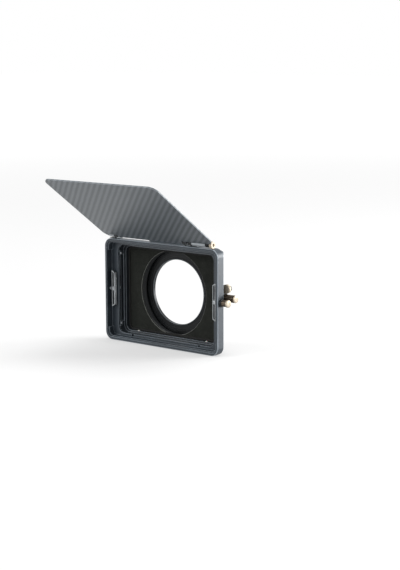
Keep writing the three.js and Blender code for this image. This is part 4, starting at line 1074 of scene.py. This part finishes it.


# A closed wire coil along X.
def makeSpring(node):
    size = springs[node]
    centre, wire, turns = size["line"], size["wire"], size["turns"]
    low, high = boxOf(node)
    middle = Vector((0, centre.y, centre.z))
    work = emptyWork()
    bmesh.ops.create_circle(work, segments=springs["wireSides"], radius=wire)
    facing = axes["y"].to_track_quat("Z", "Y").to_matrix()
    bmesh.ops.rotate(work, cent=(0, 0, 0), matrix=facing, verts=work.verts)
    start = middle + axes["z"] * size["coil"] + axes["x"] * (low.x + wire)
    bmesh.ops.translate(work, vec=start, verts=work.verts)
    steps = turns * springs["turnSteps"]
    rise = (high.x - low.x - wire * 2) / steps
    bmesh.ops.spin(
        work, geom=[*work.verts, *work.edges], cent=middle, axis=axes["x"], dvec=axes["x"] * rise,
        angle=math.tau * turns, steps=steps, use_merge=False,
    )
    bmesh.ops.holes_fill(work, edges=[edge for edge in work.edges if edge.is_boundary], sides=0)
    piece = finished(tidied(work), lathed("Steel", "x", centre), node, smoothAngle=60)
    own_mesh(piece)


stems = {
    "radius": 1.1, "head": 2.1, "headLength": 0.9, "collar": 2.4, "collarLength": 0.8, "soft": 0.3,
}


def makeClipStems():
    size = stems
    soft, radius, head = size["soft"], size["radius"], size["head"]
    low, high = boxOf("left_clip_stem")
    headEnd = low.x + size["headLength"]
    turnAndFinish("left_clip_stem", [
        (0, low.x), (head, low.x, soft), (head, headEnd), (radius, headEnd), (radius, high.x, soft),
        (0, high.x),
    ], "Steel", clipLine)
    low, high = boxOf("right_clip_stem")
    collar = boxOf("clip_base_ring")[0].x + gap
    collarEnd = collar + size["collarLength"]
    turnAndFinish("right_clip_stem", [
        (0, low.x), (radius, low.x, soft), (radius, collar), (size["collar"], collar),
        (size["collar"], collarEnd), (radius, collarEnd), (radius, high.x), (0, high.x),
    ], "Steel", clipLine)


baseRing = {"bore": 2.7, "soft": 0.2, "bevel": 0.6, "shoulder": 1.5}


def makeBaseRing():
    size = baseRing
    low, high = boxOf("clip_base_ring")
    radius = (high.z - low.z) / 2
    soft, bore, inner = size["soft"], size["bore"], radius - size["shoulder"]
    turnAndFinish("clip_base_ring", [
        (bore, low.x), (radius, low.x), (radius, high.x, size["bevel"], soft / size["bevel"]),
        (inner + soft, high.x), (inner, high.x - soft), (bore, high.x - soft),
    ], "BlackAnodising", clipLine, closed=True)


latchPin = {"radius": 1.3, "tipRound": 0.6, "tipKnee": 0.25, "collar": 2.4, "collarLength": 1.2}


def makeLatchPin():
    size = latchPin
    low, high = boxOf("latch_pin")
    radius = size["radius"]
    collar = boxOf("latch_housing")[0].x + gap * 2
    collarEnd = collar + size["collarLength"]
    turnAndFinish("latch_pin", [
        (0, low.x), (radius, low.x, size["tipRound"], size["tipKnee"]), (radius, collar),
        (size["collar"], collar), (size["collar"], collarEnd), (radius, collarEnd), (radius, high.x),
        (0, high.x),
    ], "Steel", latchLine)


stagePin = {
    "radius": 1.9, "bevel": 0.6, "steepKnee": 0.4, "collar": 2.4, "collarLength": 0.9, "bore": 2.7,
    "endWall": 1.0, "ring": 0.2,
}


def makeStagePin():
    size = stagePin
    radius, bevel, ring = size["radius"], size["bevel"], size["ring"]
    low, high = boxOf("stage_pin")
    collarEnd = low.x + size["collarLength"]
    turnAndFinish("stage_pin", [
        (0, low.x), (size["collar"], low.x), (size["collar"], collarEnd), (radius, collarEnd),
        (radius, high.x - bevel), (radius - bevel * knee, high.x - bevel * size["steepKnee"]),
        (radius - bevel, high.x), (0, high.x),
    ], "Steel", stagePinLine)
    low, high = boxOf("stage_pin_housing")
    outer = (high.z - low.z) / 2
    floor = low.x + size["endWall"]
    turnAndFinish("stage_pin_housing", [
        (0, low.x), (outer, low.x, bevel, knee),
        (outer, high.x - ring * 4), (outer - ring, high.x - ring * 3), (outer - ring, high.x - ring * 2),
        (outer, high.x - ring), (outer, high.x), (size["bore"], high.x), (size["bore"], floor), (0, floor),
    ], "BlackAnodising", stagePinLine)


makeClipStems()
makeBaseRing()
makeHousing("clip_housing", clipLine, grips["clip"])
makeHousing("latch_housing", latchLine, grips["latch"])
makeCap("right_clip_cap", clipLine, grips["clip"]["hole"])
makeCap("latch_cap", latchLine, grips["latch"]["hole"])
makeLatchPin()
makeStagePin()
makeSpring("left_clip_spring")
makeSpring("right_clip_spring")
makeSpring("latch_spring")
makeSpring("stage_pin_spring")
softenNode("side_bracket")


# Side thumbscrew: a ridged disc with a groove behind its face, on a short threaded shank

thumbScrew = {
    "head": 4.4, "round": 0.25, "groove": 0.6, "grooveWidth": 0.6, "grooveDepth": 0.7, "bevel": 0.5,
    "shank": 1.7, "pitch": 0.6, "threadDepth": 0.25, "turns": 4,
}


def makeThumbScrew():
    size = thumbScrew
    low, high = boxOf("side_thumb_screw")
    centre = lineOf("side_thumb_screw", "y")
    radius = (high.x - low.x) / 2
    soft, bevel, shank = size["round"], size["bevel"], size["shank"]
    front, back = low.y, low.y + size["head"]
    grooveFront = front + size["groove"]
    grooveBack = grooveFront + size["grooveWidth"]
    core = radius - size["grooveDepth"]
    profile = [
        (0, front), (radius - soft * 2, front), (radius - soft / 2, front + soft / 2),
        (radius, front + soft), (radius, grooveFront), (core, grooveFront), (core, grooveBack),
        (radius, grooveBack), (radius, back, bevel), (shank, back),
    ]
    profile += threaded(shank, back + size["pitch"], size["turns"], size["pitch"], size["threadDepth"])
    profile += [(shank - size["threadDepth"], high.y), (0, high.y)]
    work = spun(profile, "y", centre, catches["ridges"] * catches["ridgeSteps"], closed=False)
    pressRidges(work, "y", centre, radius, (grooveBack + soft, back - bevel))
    finished(work, lathed("PaleBrass", "y", centre), "side_thumb_screw", smoothAngle=25)


makeThumbScrew()


# Ball tips: steel at the side slots, nylon in the bottom of the window

ballTip = {"around": 32, "upwards": 16}


def makeBall(node):
    size = ballTip
    low, high = boxOf(node)
    work = emptyWork()
    bmesh.ops.create_uvsphere(
        work, u_segments=size["around"], v_segments=size["upwards"], radius=(high.x - low.x) / 2,
    )
    bmesh.ops.translate(work, vec=(low + high) / 2, verts=work.verts)
    finished(work, skins["nylon" if "bottom" in node else "steelBall"], node, smoothAngle=60)


for node in nodes:
    if node.startswith("ball_"):
        makeBall(node)
print("catches ready")


# Hinge: brackets, pins, washer stack and tension knob

hingeCentre = Vector((0, hingeLine[1], hingeLine[2])) / mm
softenNode("right_hinge_bracket")
softenNode("left_hinge_bracket")

hingePins = {
    "right_hinge_pin": {"head": 2.9, "radius": 1.6, "headAtLow": True},
    "left_hinge_pin": {"head": 2.2, "radius": 1.0, "headAtLow": False},
    "headLength": 2, "round": 0.6, "bevel": 0.3,
}


def makeHingePin(node):
    size = hingePins[node]
    low, high = boxOf(node)
    outer, tail, toward = (low.x, high.x, 1) if size["headAtLow"] else (high.x, low.x, -1)
    head, radius, bevel, soft = size["head"], size["radius"], hingePins["bevel"], hingePins["round"]
    seat = outer + toward * hingePins["headLength"]
    turnAndFinish(node, [
        (0, outer), (head, outer, soft, knee), (head, seat), (radius, seat), (radius, tail, bevel),
        (0, tail),
    ], "BlackOxide", hingeCentre)


washerStack = {"bore": 1.9, "grooves": 4, "depth": 0.5, "flat": 0.1}


def makeHingeWasher():
    size = washerStack
    low, high = boxOf("hinge_washer")
    radius = (high.z - low.z) / 2
    pitch = (high.x - low.x) / (size["grooves"] + 1)
    profile = [(size["bore"], low.x), (radius, low.x, size["flat"])]
    for groove in range(1, size["grooves"] + 1):
        middle = low.x + groove * pitch
        profile += [
            (radius, middle - size["depth"]), (radius - size["depth"], middle - size["flat"]),
            (radius - size["depth"], middle + size["flat"]), (radius, middle + size["depth"]),
        ]
    profile += [(radius, high.x, size["flat"]), (size["bore"], high.x)]
    turnAndFinish("hinge_washer", profile, "BlackOxide", hingeCentre, closed=True)


hingeKnob = {
    "bevel": 0.6, "hole": 1.9, "holeSteps": 48, "socket": 1.9, "socketDepth": 1.4, "floor": 0.3, "steps": 72,
}


def makeHingeKnob():
    size = hingeKnob
    low, high = boxOf("hinge_knob")
    radius = (high.z - low.z) / 2
    bevel = size["bevel"]
    work = spun([
        (0, low.x), (radius, low.x, bevel, knee), (radius, high.x, bevel, knee), (0, high.x),
    ], "x", hingeCentre, size["steps"], closed=False)
    socketFloor = high.x - size["socketDepth"]
    work = carve(work, [
        rod(size["socket"], socketFloor, high.x + overrun, "x", hingeCentre, hexSides),
        rod(size["hole"], low.x - overrun, socketFloor - size["floor"], "x", hingeCentre, size["holeSteps"]),
    ])
    finished(work, lathed("PaleBrass", "x", hingeCentre), "hinge_knob")


makeHingePin("right_hinge_pin")
makeHingePin("left_hinge_pin")
makeHingeWasher()
makeHingeKnob()
softenNode("top_rail")
print("hinge and rail ready")


# Flag: drawn level about the hinge, then tilted with its leaves and rivets

flag = {
    "length": 127.4, "near": 1.6, "thickness": 1.6, "drop": 1, "corner": 10, "cornerSteps": 12,
    "notchCorner": 9, "notchMargin": 0.9, "knobClearance": 0.6, "round": 0.3, "roundSegments": 3,
    "shortest": 0.8, "rivetReach": 9.4, "rivetHole": 1.3, "rivetFloor": 0.5,
}
leaves = {
    "right_hinge_leaf": {"barrel": 2.9, "pinHole": 1.9},
    "left_hinge_leaf": {"barrel": 2.2, "pinHole": 1.3},
    "reach": 12.5, "thickness": 1, "corner": 1.8, "cornerSegments": 6, "soft": 0.15, "pinSteps": 64,
    "tongueShare": 0.7,
}
# The crown's steps are in shares of the head's radius and height.
rivet = {
    "radius": 1.0, "head": 1.9, "height": 0.6, "steps": 48,
    "crownShares": ((1, 0), (0.8, 0.6), (0.47, 0.92)),
}
rivetX = [(sum(boxOf(f"flag_rivet_{number}"), Vector()) / 2).x for number in (1, 2, 3)]
panelBottom = -flag["thickness"] / 2 - flag["drop"]
panelTop = panelBottom + flag["thickness"]
leafBottom = panelTop + gap
leafTop = leafBottom + leaves["thickness"]


def tiltFlag(work):
    bmesh.ops.rotate(work, cent=(0, 0, 0), matrix=Matrix.Rotation(-flagTilt, 3, "X"), verts=work.verts)
    bmesh.ops.translate(work, vec=hingeCentre, verts=work.verts)
    return work


def makeFlagPanel():
    size = flag
    half, near, far = boxOf("flag_panel")[1].x, size["near"], size["near"] - size["length"]
    knobLow, knobHigh = boxOf("hinge_knob")
    notchEdge = -(knobHigh.z - knobLow.z) / 2 - size["knobClearance"]
    notchStart = boxOf("right_hinge_pin")[0].x - size["notchMargin"]
    outline = [
        (-half, near), (notchStart, near), (notchStart, notchEdge), (half, notchEdge), (half, far),
        (-half, far),
    ]
    work = emptyWork()
    corners = [work.verts.new((x, y, panelBottom)) for x, y in outline]
    work.faces.new(corners)
    roundCorners(work, [corners[0], corners[4], corners[5]], size["corner"], size["cornerSteps"])
    roundCorners(work, [corners[3]], size["notchCorner"], size["cornerSteps"])
    work = raised(work, (0, 0, size["thickness"]))
    slotDepth = leaves["left_hinge_leaf"]["barrel"] + size["knobClearance"]
    slot = block(
        (boxOf("left_hinge_leaf")[0].x - gap, -slotDepth, panelBottom - overrun),
        (boxOf("left_hinge_pin")[1].x + size["notchMargin"], near + overrun, panelTop + overrun),
    )
    rivets = [Vector((x, -size["rivetReach"], 0)) for x in rivetX]
    floor = panelBottom + size["rivetFloor"]
    holes = [rod(size["rivetHole"], floor, panelTop + overrun, "z", place) for place in rivets]
    work = carve(work, [slot, *holes])
    clear = size["rivetHole"] * 2
    rims = [
        edge for edge in sharpEdges(work, shortest=size["shortest"])
        if min((edge.verts[0].co.xy - place.xy).length for place in rivets) > clear
    ]
    roundEdges(work, rims, size["round"], size["roundSegments"])
    finished(tiltFlag(work), skins["carbon"], "flag_panel")


def makeHingeLeaf(node):
    low, high = boxOf(node)
    barrel, pinHole, soft = leaves[node]["barrel"], leaves[node]["pinHole"], leaves["soft"]
    work = spun([
        (pinHole, low.x), (barrel, low.x, soft), (barrel, high.x, soft), (pinHole, high.x),
    ], "x")
    tongue = -barrel * leaves["tongueShare"]
    plate = block((low.x, -leaves["reach"], leafBottom), (high.x, tongue, leafTop))
    outer = [
        edge for edge in plate.edges
        if all(vert.co.y < weld - leaves["reach"] for vert in edge.verts)
        and abs(edge.verts[0].co.z - edge.verts[1].co.z) > leaves["thickness"] / 2
    ]
    roundEdges(plate, outer, leaves["corner"], leaves["cornerSegments"], wear=0)
    roundEdges(plate, sharpEdges(plate), soft)
    work = carve(work, [plate], "UNION")
    cutters = [
        rod(flag["rivetHole"], leafBottom - overrun, leafTop + overrun, "z", (x, -flag["rivetReach"], 0))
        for x in rivetX if low.x < x < high.x
    ]
    cutters.append(rod(pinHole, low.x - overrun, high.x + overrun, "x", steps=leaves["pinSteps"]))
    finished(tiltFlag(carve(work, cutters)), skins["milledGrey"], node)


def makeRivet(number):
    radius, head, height = rivet["radius"], rivet["head"], rivet["height"]
    lower, upper = panelBottom + flag["rivetFloor"] + gap, leafTop + gap
    work = spun([
        (0, lower), (radius, lower), (radius, upper),
        *[(head * wide, upper + height * up) for wide, up in rivet["crownShares"]], (0, upper + height),
    ], "z", (rivetX[number - 1], -flag["rivetReach"], 0), rivet["steps"], closed=False)
    finished(tiltFlag(work), skins["milledBlack"], f"flag_rivet_{number}")


makeFlagPanel()
makeHingeLeaf("right_hinge_leaf")
makeHingeLeaf("left_hinge_leaf")
for number in (1, 2, 3):
    makeRivet(number)
print("flag ready")
